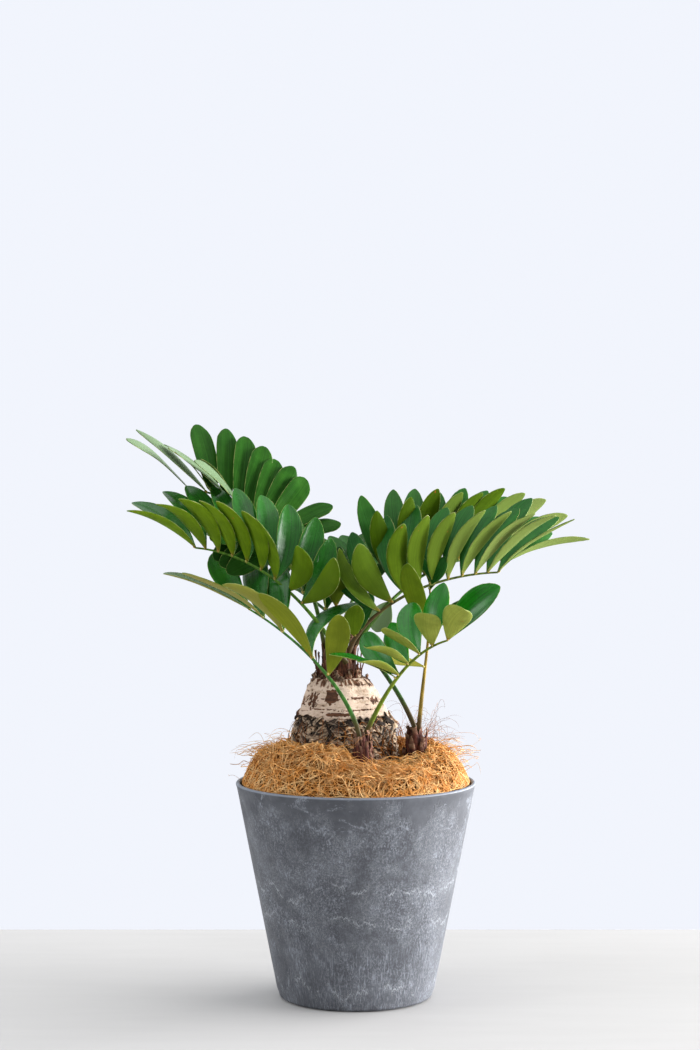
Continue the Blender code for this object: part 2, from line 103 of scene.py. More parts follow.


# What a frond has unless its entry below says otherwise. Pairs of values run from the foot to the tip, angles
# are in degrees, and base, length, leaf and width are in millimetres. None stands for a missing leaflet.
# The pale underside colour that a leaflet's pale amount mixes in is painted light by default; frond_left_low
# has a pale tan instead and frond_right_small a brown.
FROND_RULE = dict(
    bend=1, crowd=1, sweep_bend=1, roll=(0, 0), twist=(15, 15), bow=(LEAF_BOW, LEAF_BOW), blunt=LEAF_BLUNT,
    tip=0, cup=LEAF_CUP, gloss=0.09, brown=0.16, faded_and_painted_light=PAINTED_LIGHT_UNDER, at={}, extra=(), left={}, right={},
)
FRONDS = {
    "frond_left_front": dict(
        base=(-16, -13, 359), azimuth=(165.3, 180.5), rise=(54.6, 5), bend=1.613, length=194,
        first=0.342, crowd=1.185, pairs=9, leaf=(84, 87, 96), width=(26, 26.5, 24), sweep=(83.3, 47.2),
        sweep_bend=0.409, lift=(60.1, 36.6), roll=(-14.3, -4), twist=(12, 12), gloss=0.36, cup=(0.2, 0.36),
        # Below zero, pale on the first three leaflets of this row is painted shade.
        left={
            0: fit(lean=-5, long=1.15, pale=-0.65), 1: fit(lean=-8, long=0.86, wide=1.12, pale=-0.5),
            2: fit(lean=8, pale=-0.3), 4: fit(long=1.05), 5: fit(lean=-4), 6: fit(lean=-8, long=1.04),
            7: fit(lean=-6), 8: fit(lean=4, spin=10),
        },
        right={
            0: fit(lean=16, long=0.9, wide=0.9), 2: fit(wide=1.05), 5: fit(lean=-3), 6: fit(lean=-2, spin=-8),
            7: fit(lean=-3, spin=-4), 8: fit(lean=7, spin=-6),
        },
    ),
    "frond_left_high": dict(
        base=(-31, 9, 353), azimuth=(128.6, 174.9), rise=(76.8, 1.9), bend=1.511, length=255,
        first=0.539, crowd=0.725, pairs=10, leaf=(79, 84, 98), width=(25, 25.5, 24), sweep=(91.9, 59.1),
        sweep_bend=0.98, lift=(16.5, 45.7), roll=(-21.4, -8.9), twist=(20, 20), bow=(-0.01, 0.006),
        blunt=(1.48, 0.27), tip=0.45, gloss=0.03,
        # pale=1 on three of these extras and on leaflets 6 to 9 of the left row: painted sheen on leaflets
        # seen edge-on.
        extra=(
            single(0.93, 174, 41.5, 102, 21, spin=-14, bow=-0.01, pale=1), single(0.3, 150, 75, 75, 24),
            single(0.86, 176, 43, 84, 20, spin=-8, bow=-0.01, pale=1),
            single(0.8, 178, 51, 60, 18, spin=14, bow=-0.01, pale=1),
        ),
        left={
            0: fit(turn=-30), 1: fit(turn=-36), 2: fit(turn=-42), 3: fit(turn=-33), 4: fit(turn=-33), 5: None,
            6: fit(lean=8, spin=22, wide=0.8, pale=1), 7: fit(lean=10, spin=20, wide=0.8, pale=1),
            8: fit(spin=24, long=0.95, wide=0.75, pale=1),
            9: fit(lean=1, spin=32, long=1.1, wide=0.9, pale=1),
        },
        right={
            0: fit(lean=-11, spin=-34, long=0.88, wide=0.9), 1: fit(lean=-8, spin=-26, long=0.92, wide=0.8),
            2: fit(lean=9, long=0.94), 3: fit(lean=8, long=0.95), 4: fit(lean=8, long=0.91),
            5: fit(lean=5, long=0.97), 6: fit(lean=3), 8: fit(wide=1.05), 9: None,
        },
    ),
    "frond_left_low": dict(
        base=(3, -80, 283), azimuth=(153.5, 149.8), rise=(83.2, 25.2), bend=0.478, length=181,
        first=0.381, crowd=1.332, pairs=5, leaf=(66, 94, 96), width=(26.5, 26.5, 23), sweep=(85, 27.4),
        sweep_bend=1.026, lift=(30.9, 18.9), roll=(11.6, -14.7), twist=(-40, -4), bow=(-0.055, 0.01),
        at={1: 0.515}, gloss=0.34, blunt=(1.62, 0.5), cup=(0.14, 0.3), faded_and_painted_light=(0.38, 0.33, 0.115),
        left={
            0: fit(lean=24, turn=34, long=1.04, wide=0.95), 1: fit(lean=32, long=1.1, pale=0.3),
            2: fit(pale=0.7), 3: fit(lean=-1, long=1.02, pale=1), 4: fit(lean=-3, long=1.02, pale=1),
        },
        right={
            0: None, 1: fit(lean=-2, turn=3, long=1.28, wide=0.72, bow=0.2),
            2: fit(lean=14, turn=10, wide=1.1), 3: fit(spin=-14, wide=1.2),
            4: fit(spin=-14, wide=1.25, bow=0.05),
        },
    ),
    "frond_right_high": dict(
        base=(-6, -6, 364), azimuth=(-0.2, 7.9), rise=(74.4, 1.6), bend=0.54, length=182,
        first=0.275, crowd=1.12, pairs=10, leaf=(90, 92, 100), width=(25, 25.2, 22), sweep=(91.1, 41.8),
        sweep_bend=0.681, lift=(56.5, 55.4), roll=(2.3, 1.1), brown=0.55,
        extra=(
            single(0.07, -85, 62, 40, 21), single(0.09, 50, 66, 48, 21),
            single(0.61, -168, 37, 47, 12, spin=-82, bow=-0.24), single(0.6, -40, 57, 36, 14, spin=105),
        ),
        left={
            1: fit(lean=-8, long=1.08), 2: fit(lean=-4, long=1.08), 3: fit(lean=-3, long=1.1),
            8: fit(lean=-9, long=1.1),
        },
        # In this row pale is painted shade below zero near the foot, then painted light rising outward on the
        # undersides lit from the right.
        right={
            0: fit(lean=5, turn=18, spin=32, long=0.94, wide=0.9, pale=-0.4),
            1: fit(lean=-10, long=1.04, wide=1.12, pale=-0.6), 2: fit(long=1.05),
            3: fit(lean=-3, long=1.05, pale=0.3), 4: fit(lean=-3, spin=6, pale=0.45),
            5: fit(spin=8, pale=0.7), 6: fit(spin=10, pale=0.7), 7: fit(spin=12, pale=0.85),
            8: fit(spin=12, pale=0.9),
            9: fit(spin=14, wide=0.34, pale=1),
        },
    ),
    "frond_right_back": dict(
        base=(-5, 12, 359), azimuth=(19.9, 30.2), rise=(54.2, -16.6), bend=1.475, length=222,
        first=0.402, crowd=0.935, pairs=10, leaf=(96, 92, 102), width=(24, 24.5, 21), sweep=(79.6, 33.6),
        sweep_bend=0.571, lift=(81.1, 70.7), roll=(-8, -5.8), twist=(8, 8),
        # pale on this extra and along the right row is painted light.
        extra=(single(0.31, -152, -62, 36, 24, spin=-60, pale=1),),
        left={
            0: fit(lean=5, turn=-2, long=1.14), 1: fit(lean=4, turn=-15, long=1.17),
            2: fit(turn=-12, long=1.1), 3: fit(lean=-2, long=0.94), 9: fit(lean=-7, long=0.84),
        },
        right={
            0: fit(lean=5, turn=4, long=0.92), 1: fit(lean=6, turn=4, long=0.95), 2: fit(lean=8, turn=8),
            3: fit(lean=6, long=0.94, pale=0.5), 4: fit(lean=4, long=0.93), 6: fit(pale=0.7),
            7: fit(lean=-3, pale=0.9), 8: fit(pale=0.9), 9: fit(lean=3, spin=8, wide=0.42, pale=1),
        },
    ),
    "frond_right_low": dict(
        base=(10, -74, 284), azimuth=(-12.9, -38.3), rise=(64.3, 14.8), bend=1.802, length=139,
        first=0.507, crowd=0.91, pairs=5, leaf=(56, 63, 74), width=(25, 28.5, 28.5), sweep=(91.5, 35.1),
        sweep_bend=2.185, lift=(45.8, 47), roll=(15.3, 20.1), twist=(-20, -20), gloss=0.36, cup=(0.2, 0.34),
        extra=(single(0.475, 201, 21, 77, 14, spin=-24),),
        left={
            0: fit(lean=2, turn=14, long=1.15), 2: fit(lean=-3), 3: fit(lean=-7, spin=10),
            4: fit(lean=1, long=1.05),
        },
        right={
            0: fit(spin=-26), 1: fit(lean=-4, spin=-26), 2: fit(spin=-24),
            3: fit(lean=8, long=0.92, wide=0.95), 4: fit(lean=-3),
        },
    ),
    "frond_right_small": dict(
        base=(65, -31.5, 283), azimuth=(56, 92), rise=(82.5, 47.6), bend=1.043, length=156,
        first=0.417, crowd=1.148, pairs=3, leaf=(62, 66, 48), width=(20, 22, 18), sweep=(94.2, 31.5),
        sweep_bend=0.7, lift=(53.6, 31.2), roll=(3.8, 3.9), faded_and_painted_light=(0.17, 0.115, 0.022),
        extra=(single(0.64, -119, 61, 90, 27, bow=-0.06),),
        left={0: fit(spin=150, wide=0.65, pale=1), 1: None, 2: fit(spin=-4, bow=0.2)},
        right={0: None, 1: fit(lean=-30), 2: fit(lean=-2, spin=-30, long=0.9)},
    ),
    "frond_back_left": dict(
        base=(60, -25, 286), azimuth=(132, 131.8), rise=(61.8, 14.5), bend=0.578, length=290,
        first=0.619, crowd=1.079, pairs=7, leaf=(88, 80, 88), width=(22.5, 23.5, 20), sweep=(61.2, 40.7),
        lift=(67.5, 31.7), roll=(-0.5, 0.4),
        left={0: fit(turn=-3)}, right={0: fit(long=0.82), 1: fit(long=0.86), 2: fit(long=0.9)},
    ),
    "frond_centre": dict(
        base=(-19, 8, 365.5), azimuth=(96, 88), rise=(76, 24), length=105, first=0.36, pairs=4,
        leaf=(62, 64, 60), width=(23.5, 23.5, 21.5), sweep=(95, 48), lift=(34, 30), twist=(12, 12),
        extra=(single(0.42, -72, 50, 62, 26), single(0.62, -122, 62, 52, 19)),
        left={0: None, 1: fit(long=0.8), 2: fit(turn=27, long=0.75), 3: fit(long=0.8)},
        right={0: None, 3: fit(turn=6)},
    ),
    "frond_back": dict(
        base=(-20, 26, 357), azimuth=(74, 62), rise=(56, -14), length=215, first=0.44, crowd=1.08, pairs=9,
        leaf=(80, 88, 90), width=(23.5, 24, 20), sweep=(84, 40), sweep_bend=0.7, lift=(38, 34),
        left={0: fit(turn=-39), 2: fit(long=0.85), 3: fit(long=0.82), 4: fit(long=0.8), 5: fit(long=0.85)},
    ),
}

# Base colours (linear) of each frond: upper side, underside, stalk.
FROND_COLOURS = {
    "frond_left_front": ((0.018, 0.13, 0.012), (0.145, 0.25, 0.008), (0.09, 0.2, 0.02)),
    "frond_left_high": ((0.02, 0.084, 0.01), (0.052, 0.125, 0.012), (0.06, 0.14, 0.02)),
    "frond_left_low": ((0.014, 0.115, 0.01), (0.18, 0.225, 0.016), (0.05, 0.16, 0.025)),
    "frond_right_high": ((0.018, 0.105, 0.016), (0.08, 0.142, 0.006), (0.085, 0.115, 0.018)),
    "frond_right_back": ((0.026, 0.115, 0.018), (0.058, 0.115, 0.002), (0.07, 0.15, 0.025)),
    "frond_right_low": ((0.01, 0.155, 0.006), (0.29, 0.345, 0.055), (0.14, 0.2, 0.014)),
    "frond_right_small": ((0.018, 0.085, 0.01), (0.145, 0.235, 0.012), (0.23, 0.15, 0.016)),
    "frond_back_left": ((0.018, 0.085, 0.012), (0.085, 0.135, 0.01), (0.035, 0.095, 0.02)),
    "frond_centre": ((0.018, 0.08, 0.01), (0.085, 0.125, 0.008), (0.06, 0.09, 0.02)),
    "frond_back": ((0.022, 0.1, 0.014), (0.075, 0.13, 0.01), (0.06, 0.12, 0.02)),
}


# Meshes and materials.

def mesh_piece(name, points, groups, materials, uv=None):
    """One object from an array of points and (faces, material index) groups. uv gives a pair a point."""
    mesh = bpy.data.meshes.new(name)
    points = np.asarray(points, np.float32)
    mesh.vertices.add(len(points))
    mesh.vertices.foreach_set("co", points.ravel())
    loops, starts, slots, at = [], [], [], 0
    for faces, slot in groups:
        faces = np.asarray(faces, np.int32)
        loops.append(faces.ravel())
        starts.append(at + faces.shape[1] * np.arange(len(faces)))
        slots.append(np.full(len(faces), slot))
        at += faces.size
    loops, starts, slots = (np.concatenate(each).astype(np.int32) for each in (loops, starts, slots))
    mesh.loops.add(len(loops))
    mesh.loops.foreach_set("vertex_index", loops)
    mesh.polygons.add(len(starts))
    mesh.polygons.foreach_set("loop_start", starts)
    for material in materials:
        mesh.materials.append(material)
    mesh.polygons.foreach_set("material_index", slots)
    mesh.polygons.foreach_set("use_smooth", np.full(len(starts), True))
    if uv is not None:
        layer = mesh.uv_layers.new(name="grain")
        layer.data.foreach_set("uv", np.asarray(uv, np.float32)[loops].ravel())
    mesh.update(calc_edges=True)
    mesh.validate()
    made = bpy.data.objects.new(name, mesh)
    bpy.context.scene.collection.objects.link(made)
    return made


def own_value(piece, name, values):
    """Stores one number a point, which the piece's material reads."""
    layer = piece.data.attributes.new(name, "FLOAT", "POINT")
    layer.data.foreach_set("value", np.asarray(values, np.float32))


def on_plant(piece, slot, *nodes):
    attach(piece, "root")
    if nodes:
        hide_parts(*nodes)


def tint(colour, *factors):
    """A colour times one factor, or times one each for red, green and blue."""
    return tuple(c * f for c, f in zip(colour, factors * 3 if len(factors) == 1 else factors))


class Nodes:
    """A short way to write a material's nodes."""

    def __init__(self, name, roughness, specular):
        self.material = bpy.data.materials.new(name)
        self.material.use_nodes = True
        self.tree = self.material.node_tree
        self.shader = self.tree.nodes["Principled BSDF"]
        self.shader.inputs["Roughness"].default_value = roughness
        self.shader.inputs["Specular IOR Level"].default_value = specular

    def put(self, value, socket):
        if isinstance(value, bpy.types.NodeSocket):
            self.tree.links.new(value, socket)
        elif socket.type == "RGBA":
            socket.default_value = (*value, 1.0)
        else:
            socket.default_value = value

    def node(self, kind, **inputs):
        made = self.tree.nodes.new(kind)
        for key, value in inputs.items():
            self.put(value, made.inputs[key])
        return made

    def place(self):
        return self.node("ShaderNodeTexCoord").outputs["Object"]

    def grain(self):
        found = self.node("ShaderNodeUVMap")
        found.uv_map = "grain"
        return found.outputs["UV"]

    def own(self, name):
        found = self.node("ShaderNodeAttribute")
        found.attribute_name = name
        return found.outputs["Fac"]

    def axes(self, vector):
        return self.node("ShaderNodeSeparateXYZ", Vector=vector).outputs

    def noise(self, vector, scale, detail=4, roughness=0.55, distortion=0, shift=(0, 0, 0)):
        """Noise at one scale, or at a scale for each axis."""
        if isinstance(scale, tuple):
            mapping = self.node("ShaderNodeMapping", Vector=vector, Scale=scale, Location=shift)
            vector, scale = mapping.outputs["Vector"], 1
        return self.node(
            "ShaderNodeTexNoise", Vector=vector, Scale=scale, Detail=detail, Roughness=roughness,
            Distortion=distortion,
        ).outputs["Fac"]

    def math(self, operation, a, b=0.0):
        made = self.tree.nodes.new("ShaderNodeMath")
        made.operation = operation
        self.put(a, made.inputs[0])
        self.put(b, made.inputs[1])
        return made.outputs[0]

    def plus(self, a, b):
        return self.math("ADD", a, b)

    def minus(self, a, b):
        return self.math("SUBTRACT", a, b)

    def times(self, a, b):
        return self.math("MULTIPLY", a, b)

    def ranged(self, value, low, high, to_low=0.0, to_high=1.0):
        made = self.tree.nodes.new("ShaderNodeMapRange")
        made.interpolation_type = "SMOOTHSTEP"
        for index, given in enumerate((value, low, high, to_low, to_high)):
            self.put(given, made.inputs[index])
        return made.outputs[0]

    def mix(self, factor, a, b):
        made = self.tree.nodes.new("ShaderNodeMix")
        made.data_type = "RGBA"
        for index, given in ((0, factor), (6, a), (7, b)):
            self.put(given, made.inputs[index])
        return made.outputs[2]

    def between(self, value, low, high, a, b):
        """One colour where a value is low, the other where it is high."""
        return self.mix(self.ranged(value, low, high), a, b)

    def colour(self, value):
        self.put(value, self.shader.inputs["Base Color"])

    def rough(self, value):
        self.put(value, self.shader.inputs["Roughness"])

    def bump(self, height, distance, strength):
        made = self.node("ShaderNodeBump", Height=height, Distance=distance, Strength=strength)
        self.put(made.outputs["Normal"], self.shader.inputs["Normal"])


def unit(vector):
    return vector / np.linalg.norm(vector, axis=-1, keepdims=True)


def two(values, q):
    return values[0] + (values[1] - values[0]) * q


def three(values, q):
    return values[0] * (1 - q) * (1 - 2 * q) + values[1] * 4 * q * (1 - q) + values[2] * q * (2 * q - 1)


def limited(value):
    return min(max(value, 0.0), 1.0)


def ramp(values, start, width):
    return np.clip((values - start) / width, 0, 1)


def short_way(angle):
    """The same angle between half a turn back and half a turn on."""
    return math.atan2(math.sin(angle), math.cos(angle))


def grit(x, y, z):
    return noise.noise(Vector((x, y, z)))


def turned(first, second, degrees):
    """Two square directions, both turned so that the first heads for the second."""
    c, s = math.cos(math.radians(degrees)), math.sin(math.radians(degrees))
    return c * first + s * second, c * second - s * first


def pointing(azimuth, rise=0.0):
    return np.array([math.cos(rise) * math.cos(azimuth), math.cos(rise) * math.sin(azimuth), math.sin(rise)])


def sideways(azimuth):
    return np.array([-math.sin(azimuth), math.cos(azimuth), 0.0])


def around(sides):
    return 2 * np.pi * np.arange(sides) / sides


def circle(radius, z, sides, centre=(0, 0)):
    """Points round a middle. The radius and the height may differ from point to point."""
    x, y = radius * np.cos(around(sides)), radius * np.sin(around(sides))
    return np.stack([centre[0] + x, centre[1] + y, np.full(sides, z)], 1)


def ring_faces(rows, count):
    """Quads between rows of points, each row anticlockwise seen from the end that it heads for."""
    row, k = np.meshgrid(np.arange(rows - 1), np.arange(count), indexing="ij")
    row, k = row.ravel(), k.ravel()
    after = (k + 1) % count
    low, high = row * count, (row + 1) * count
    return np.stack([low + k, low + after, high + after, high + k], 1)


class Pile:
    """Gathers points, faces by slot and point values of one piece."""

    def __init__(self):
        self.points, self.uv, self.shade, self.groups, self.count = [], [], [], [], 0

    def add(self, points, groups, shade, uv=None):
        points = np.asarray(points).reshape(-1, 3)
        for faces, slot in groups:
            self.groups.append((faces + self.count, slot))
        self.points.append(points)
        self.uv.append(np.zeros((len(points), 2)) if uv is None else uv.reshape(-1, 2))
        self.shade.append(np.full(len(points), shade))
        self.count += len(points)

    def piece(self, name, materials):
        merged = {}
        for faces, slot in self.groups:
            merged.setdefault((faces.shape[1], slot), []).append(faces)
        groups = [(np.concatenate(faces), slot) for (_, slot), faces in merged.items()]
        made = mesh_piece(name, np.concatenate(self.points), groups, materials, np.concatenate(self.uv))
        own_value(made, "shade", np.concatenate(self.shade))
        return made


# Fronds.

def rib_line(frond, pieces=42):
    """Shares of the length, and the points of the rib's centre line there."""
    share = np.linspace(0, 1, pieces + 1)
    middle = (share[:-1] + share[1:]) / 2
    azimuth = np.radians(two(frond["azimuth"], middle))
    rise = np.radians(two(frond["rise"], middle ** frond["bend"]))
    heading = np.stack([np.cos(rise) * np.cos(azimuth), np.cos(rise) * np.sin(azimuth), np.sin(rise)], 1)
    steps = np.cumsum(heading, 0) * frond["length"] / pieces
    return share, np.vstack([[0, 0, 0], steps]) + frond["base"]


def leaflet_list(frond):
    """Every leaflet of a frond: its root, direction, upper side and sizes."""
    shares, points = rib_line(frond)
    found = []

    def root_at(at):
        return np.array([np.interp(at, shares, points[:, i]) for i in range(3)])

    for k in range(frond["pairs"]):
        q = k / (frond["pairs"] - 1)
        at = frond["at"].get(k, frond["first"] + (1 - frond["first"]) * (1 - (1 - q) ** frond["crowd"]))
        azimuth = math.radians(two(frond["azimuth"], at))
        heading = pointing(azimuth, math.radians(two(frond["rise"], at ** frond["bend"])))
        level = sideways(azimuth)
        across, above = turned(level, np.cross(heading, level), two(frond["roll"], q))
        for hand, side, rule_bow in zip((1, -1), ("left", "right"), frond["bow"]):
            own = frond[side].get(k, fit())
            if own is None:
                continue
            lean, turn, spin, long, wide, bow, pale = own
            lift = math.radians(two(frond["lift"], q) + turn)
            sweep = math.radians(two(frond["sweep"], q ** frond["sweep_bend"]))
            outward = math.cos(lift) * hand * across + math.sin(lift) * above
            way = math.cos(sweep) * heading + math.sin(sweep) * outward
            upper = -math.sin(lift) * hand * across + math.cos(lift) * above
            way, distal = turned(way, -hand * np.cross(upper, way), lean)
            upper, distal = turned(upper, distal, -two(frond["twist"], q) - spin)
            found.append(dict(
                last=k >= frond["pairs"] - 2, hand=hand, root=root_at(at), way=way, upper=upper,
                distal=distal, bow=rule_bow if bow is None else bow, blunt=frond["blunt"], tip=frond["tip"],
                cup=frond["cup"], pale=pale, length=three(frond["leaf"], q) * long,
                width=three(frond["width"], q) * wide,
            ))
    for leaf in frond["extra"]:
        azimuth = math.radians(leaf["azimuth"])
        level, way = sideways(azimuth), pointing(azimuth, math.radians(leaf["rise"]))
        upper, distal = turned(np.cross(way, level), level, -leaf["spin"])
        found.append(dict(
            leaf, last=False, hand=-1, root=root_at(leaf["at"]), way=way, upper=upper, distal=distal,
            blunt=LEAF_BLUNT, tip=0, cup=LEAF_CUP,
        ))
    return found


def fine_leaflet(pile, leaf, rng):
    """A leathery blade with a rounded tip, a cupped section, a thin pale margin and a few small teeth."""
    length, width = leaf["length"], leaf["width"]
    t = np.linspace(0, 1, LEAF_ROWS)
    u = (1 - (1 - t) ** 1.45) * 0.998
    widest, blunt = leaf["blunt"]
    half = 0.5 * width * np.sin(np.pi * u ** widest) ** blunt * (1 - leaf["tip"] * ramp(u, 0.8, 0.2) ** 2)
    teeth = ramp(u, 0.62, 0.2) * np.abs(np.sin(u * length * math.pi / 0.0052)) * 0.00035
    half = np.maximum(half, 0.001) + teeth * ramp(1 - u, 0, 0.05)
    swell = (4 * u * (1 - u))[:, None]
    curl = rng.uniform(-0.01, 0.035)
    wave = rng.uniform(-0.008, 0.008)
    late = (ramp(u, 0.55, 0.45) ** 2)[:, None]
    upper, distal = leaf["upper"], leaf["distal"]
    centre = leaf["root"] + leaf["way"] * (length * u)[:, None]
    centre = centre + (distal * leaf["bow"] + upper * LEAF_ARCH) * length * swell
    centre = centre - upper * late * curl * length
    centre = centre + upper * np.sin(u * 2 * math.pi)[:, None] * wave * length
    along = unit(np.gradient(centre, axis=0))
    turn = np.radians(rng.uniform(-8, 8)) * u
    side = np.cos(turn)[:, None] * distal + np.sin(turn)[:, None] * upper
    side = unit(side - along * np.sum(side * along, 1)[:, None])
    normal = np.cross(along, side) * (-leaf["hand"])
    normal = normal * np.sign(np.sum(normal * upper, 1))[:, None]
    cup = rng.uniform(*leaf["cup"]) * rng.choice((1, 1, 1, -0.6))
    ridge = rng.uniform(0.0, 0.05)
    half = half[:, None]
    shares = np.linspace(-1, 1, LEAF_COLUMNS) * np.clip(1 - 0.00035 / half, 0.5, 0.98)
    rise = cup * half * shares ** 2 - ridge * half * np.exp(-(shares / 0.16) ** 2)
    thick = 0.0005 - 0.00018 * shares ** 2
    flat = centre[:, None, :] + side[:, None, :] * (half * shares)[:, :, None]
    top, low = (flat + normal[:, None, :] * (rise + deep)[:, :, None] for deep in (thick, -thick))
    one, other = ((centre + side * (half * s) + normal * (cup * half))[:, None] for s in (1, -1))
    rows = np.concatenate([top, one, low[:, ::-1], other], 1)
    count = rows.shape[1]
    faces = ring_faces(LEAF_ROWS, count)
    k = np.tile(np.arange(count), LEAF_ROWS - 1)
    n = LEAF_COLUMNS
    last = (LEAF_ROWS - 1) * count
    cap = np.array([[i, i + 1, 2 * n - 1 - i, 2 * n - i] for i in range(n - 1)])
    groups = [
        (faces[k < n - 1], 0), (faces[(k > n) & (k < 2 * n)], 1),
        (faces[(k == n - 1) | (k == n) | (k == 2 * n) | (k == 2 * n + 1)], 2), (last + cap, 2),
        (cap[:, [1, 0, 3, 2]], 2), (last + np.array([[n - 1, n, n + 1], [2 * n, 2 * n + 1, 0]]), 2),
        (np.array([[n, n - 1, n + 1], [2 * n + 1, 2 * n, 0]]), 2),
    ]
    if leaf["hand"] < 0:
        groups = [(quads[:, ::-1], slot) for quads, slot in groups]
    edge = np.ones((LEAF_ROWS, 1))
    across = np.concatenate([shares, edge, shares[:, ::-1], -edge], 1)
    uv = np.stack([across * half / width, np.repeat(u[:, None], count, 1)], 2)
    # The shade value: random from 0 to 1, plus PALE times the leaflet's pale amount, which mixes in the
    # frond's pale colours above zero and painted shade below zero.
    pile.add(rows, groups, rng.uniform(0.0, 1.0) + PALE * leaf["pale"], uv)


def tube(pile, line, radii, sides, slot, shade=0.0):
    """A round bar along a line, closed at both ends."""
    along = unit(np.gradient(line, axis=0))
    side = np.cross(along[0], (0.31, 0.92, 0.24))
    angles = around(sides)
    rings = [np.repeat(line[:1], sides, 0)]
    for point, ahead, radius in zip(line, along, radii):
        side = unit(side - ahead * np.dot(side, ahead))
        other = np.cross(ahead, side)
        rings.append(point + radius * (np.outer(np.cos(angles), side) + np.outer(np.sin(angles), other)))
    rings.append(np.repeat(line[-1:], sides, 0))
    share = np.linspace(0, 1, len(rings))
    uv = np.stack([np.tile(angles, len(rings)), np.repeat(share, sides)], 1)
    pile.add(rings, [(ring_faces(len(rings), sides), slot)], shade, uv)


def knob(pile, centre, axis, radius, length, shade):
    """A small egg shape with its long axis along a direction."""
    steps = np.linspace(0, math.pi, 7)
    line = centre + np.outer(-np.cos(steps) * length, axis)
    tube(pile, line, radius * np.maximum(np.sin(steps), 0.02), 8, 1, shade)


def leaf_upper_material(name, colour, gloss):
    m = Nodes(name, 0.3, gloss)
    grain, place, shade = m.grain(), m.place(), m.own("shade")
    fine = m.noise(grain, (28, 1.1, 1), 3)
    cloud = m.noise(place, 30, 3)
    base = m.between(cloud, 0.35, 0.68, tint(colour, 0.68), tint(colour, 1.5, 1.25, 1.2))
    base = m.mix(m.times(shade, 0.55), base, tint(colour, 0.72))
    base = m.mix(m.ranged(fine, 0.46, 0.62, 0, 0.42), base, tint(colour, 1.9))
    base = m.mix(m.ranged(m.axes(grain)["Y"], 0, 0.1, 0.6, 0), base, (0.19, 0.24, 0.035))
    # A high shade value mixes in the pale upper colour: painted light, the sheen of leaflets seen edge-on.
    m.colour(m.mix(m.ranged(shade, 1, 5, 0, 0.6), base, PAINTED_LIGHT_UPPER))
    m.rough(m.ranged(m.noise(place, 90), 0.3, 0.7, 0.19, 0.31))
    m.bump(m.plus(fine, m.times(cloud, 0.8)), 0.00025, 0.35)
    return m.material


def leaf_under_material(name, colour, faded_and_painted_light):
    m = Nodes(name, 0.62, 0.04)
    grain, place, shade = m.grain(), m.place(), m.own("shade")
    fine = m.noise(grain, (34, 1, 1), 3)
    cloud = m.noise(place, 42, 5, 0.6)
    base = m.between(cloud, 0.34, 0.66, tint(colour, 0.78, 0.8, 0.8), tint(colour, 1.22, 1.18, 1.3))
    base = m.mix(m.times(shade, 0.5), base, tint(colour, 1.25, 1.2, 1))
    base = m.mix(m.ranged(fine, 0.46, 0.6, 0, 0.42), base, tint(colour, 0.62))
    base = m.mix(m.ranged(m.axes(grain)["Y"], 0, 0.13, 0.7, 0), base, (0.3, 0.15, 0.025))
    base = m.mix(m.ranged(m.noise(place, 135, 2, 0.5), 0.735, 0.77, 0, 0.8), base, (0.36, 0.12, 0.02))
    # A shade value below zero darkens the leaflet: painted shade.
    base = m.mix(m.ranged(shade, -3, 0, 0.9, 0), base, tint(colour, 0.5))
    # A high shade value mixes in the pale underside colour: painted light on most fronds, a pale tan on
    # frond_left_low and a brown on frond_right_small.
    m.colour(m.mix(m.ranged(shade, 1, 5, 0, 0.65), base, faded_and_painted_light))
    m.bump(m.plus(fine, cloud), 0.0003, 0.5)
    return m.material


def cloudy_material(name, roughness, specular, size, dark, light):
    """A plain surface in two colours with a little relief: the leaflets' margins and joints."""
    m = Nodes(name, roughness, specular)
    cloud = m.noise(m.place(), size, 3)
    m.colour(m.between(cloud, 0.35, 0.65, dark, light))
    m.bump(cloud, 0.0002, 0.5)
    return m.material


def stalk_material(name, colour, brown):
    m = Nodes(name, 0.52, 0.16)
    streak = m.noise(m.place(), (260, 260, 22))
    base = m.between(streak, 0.35, 0.68, tint(colour, 0.6), tint(colour, 1.35))
    foot = m.ranged(m.axes(m.grain())["Y"], brown * 0.4, brown, 0.9, 0)
    m.colour(m.mix(foot, base, (0.066, 0.036, 0.014)))
    m.bump(streak, 0.0004, 0.6)
    return m.material


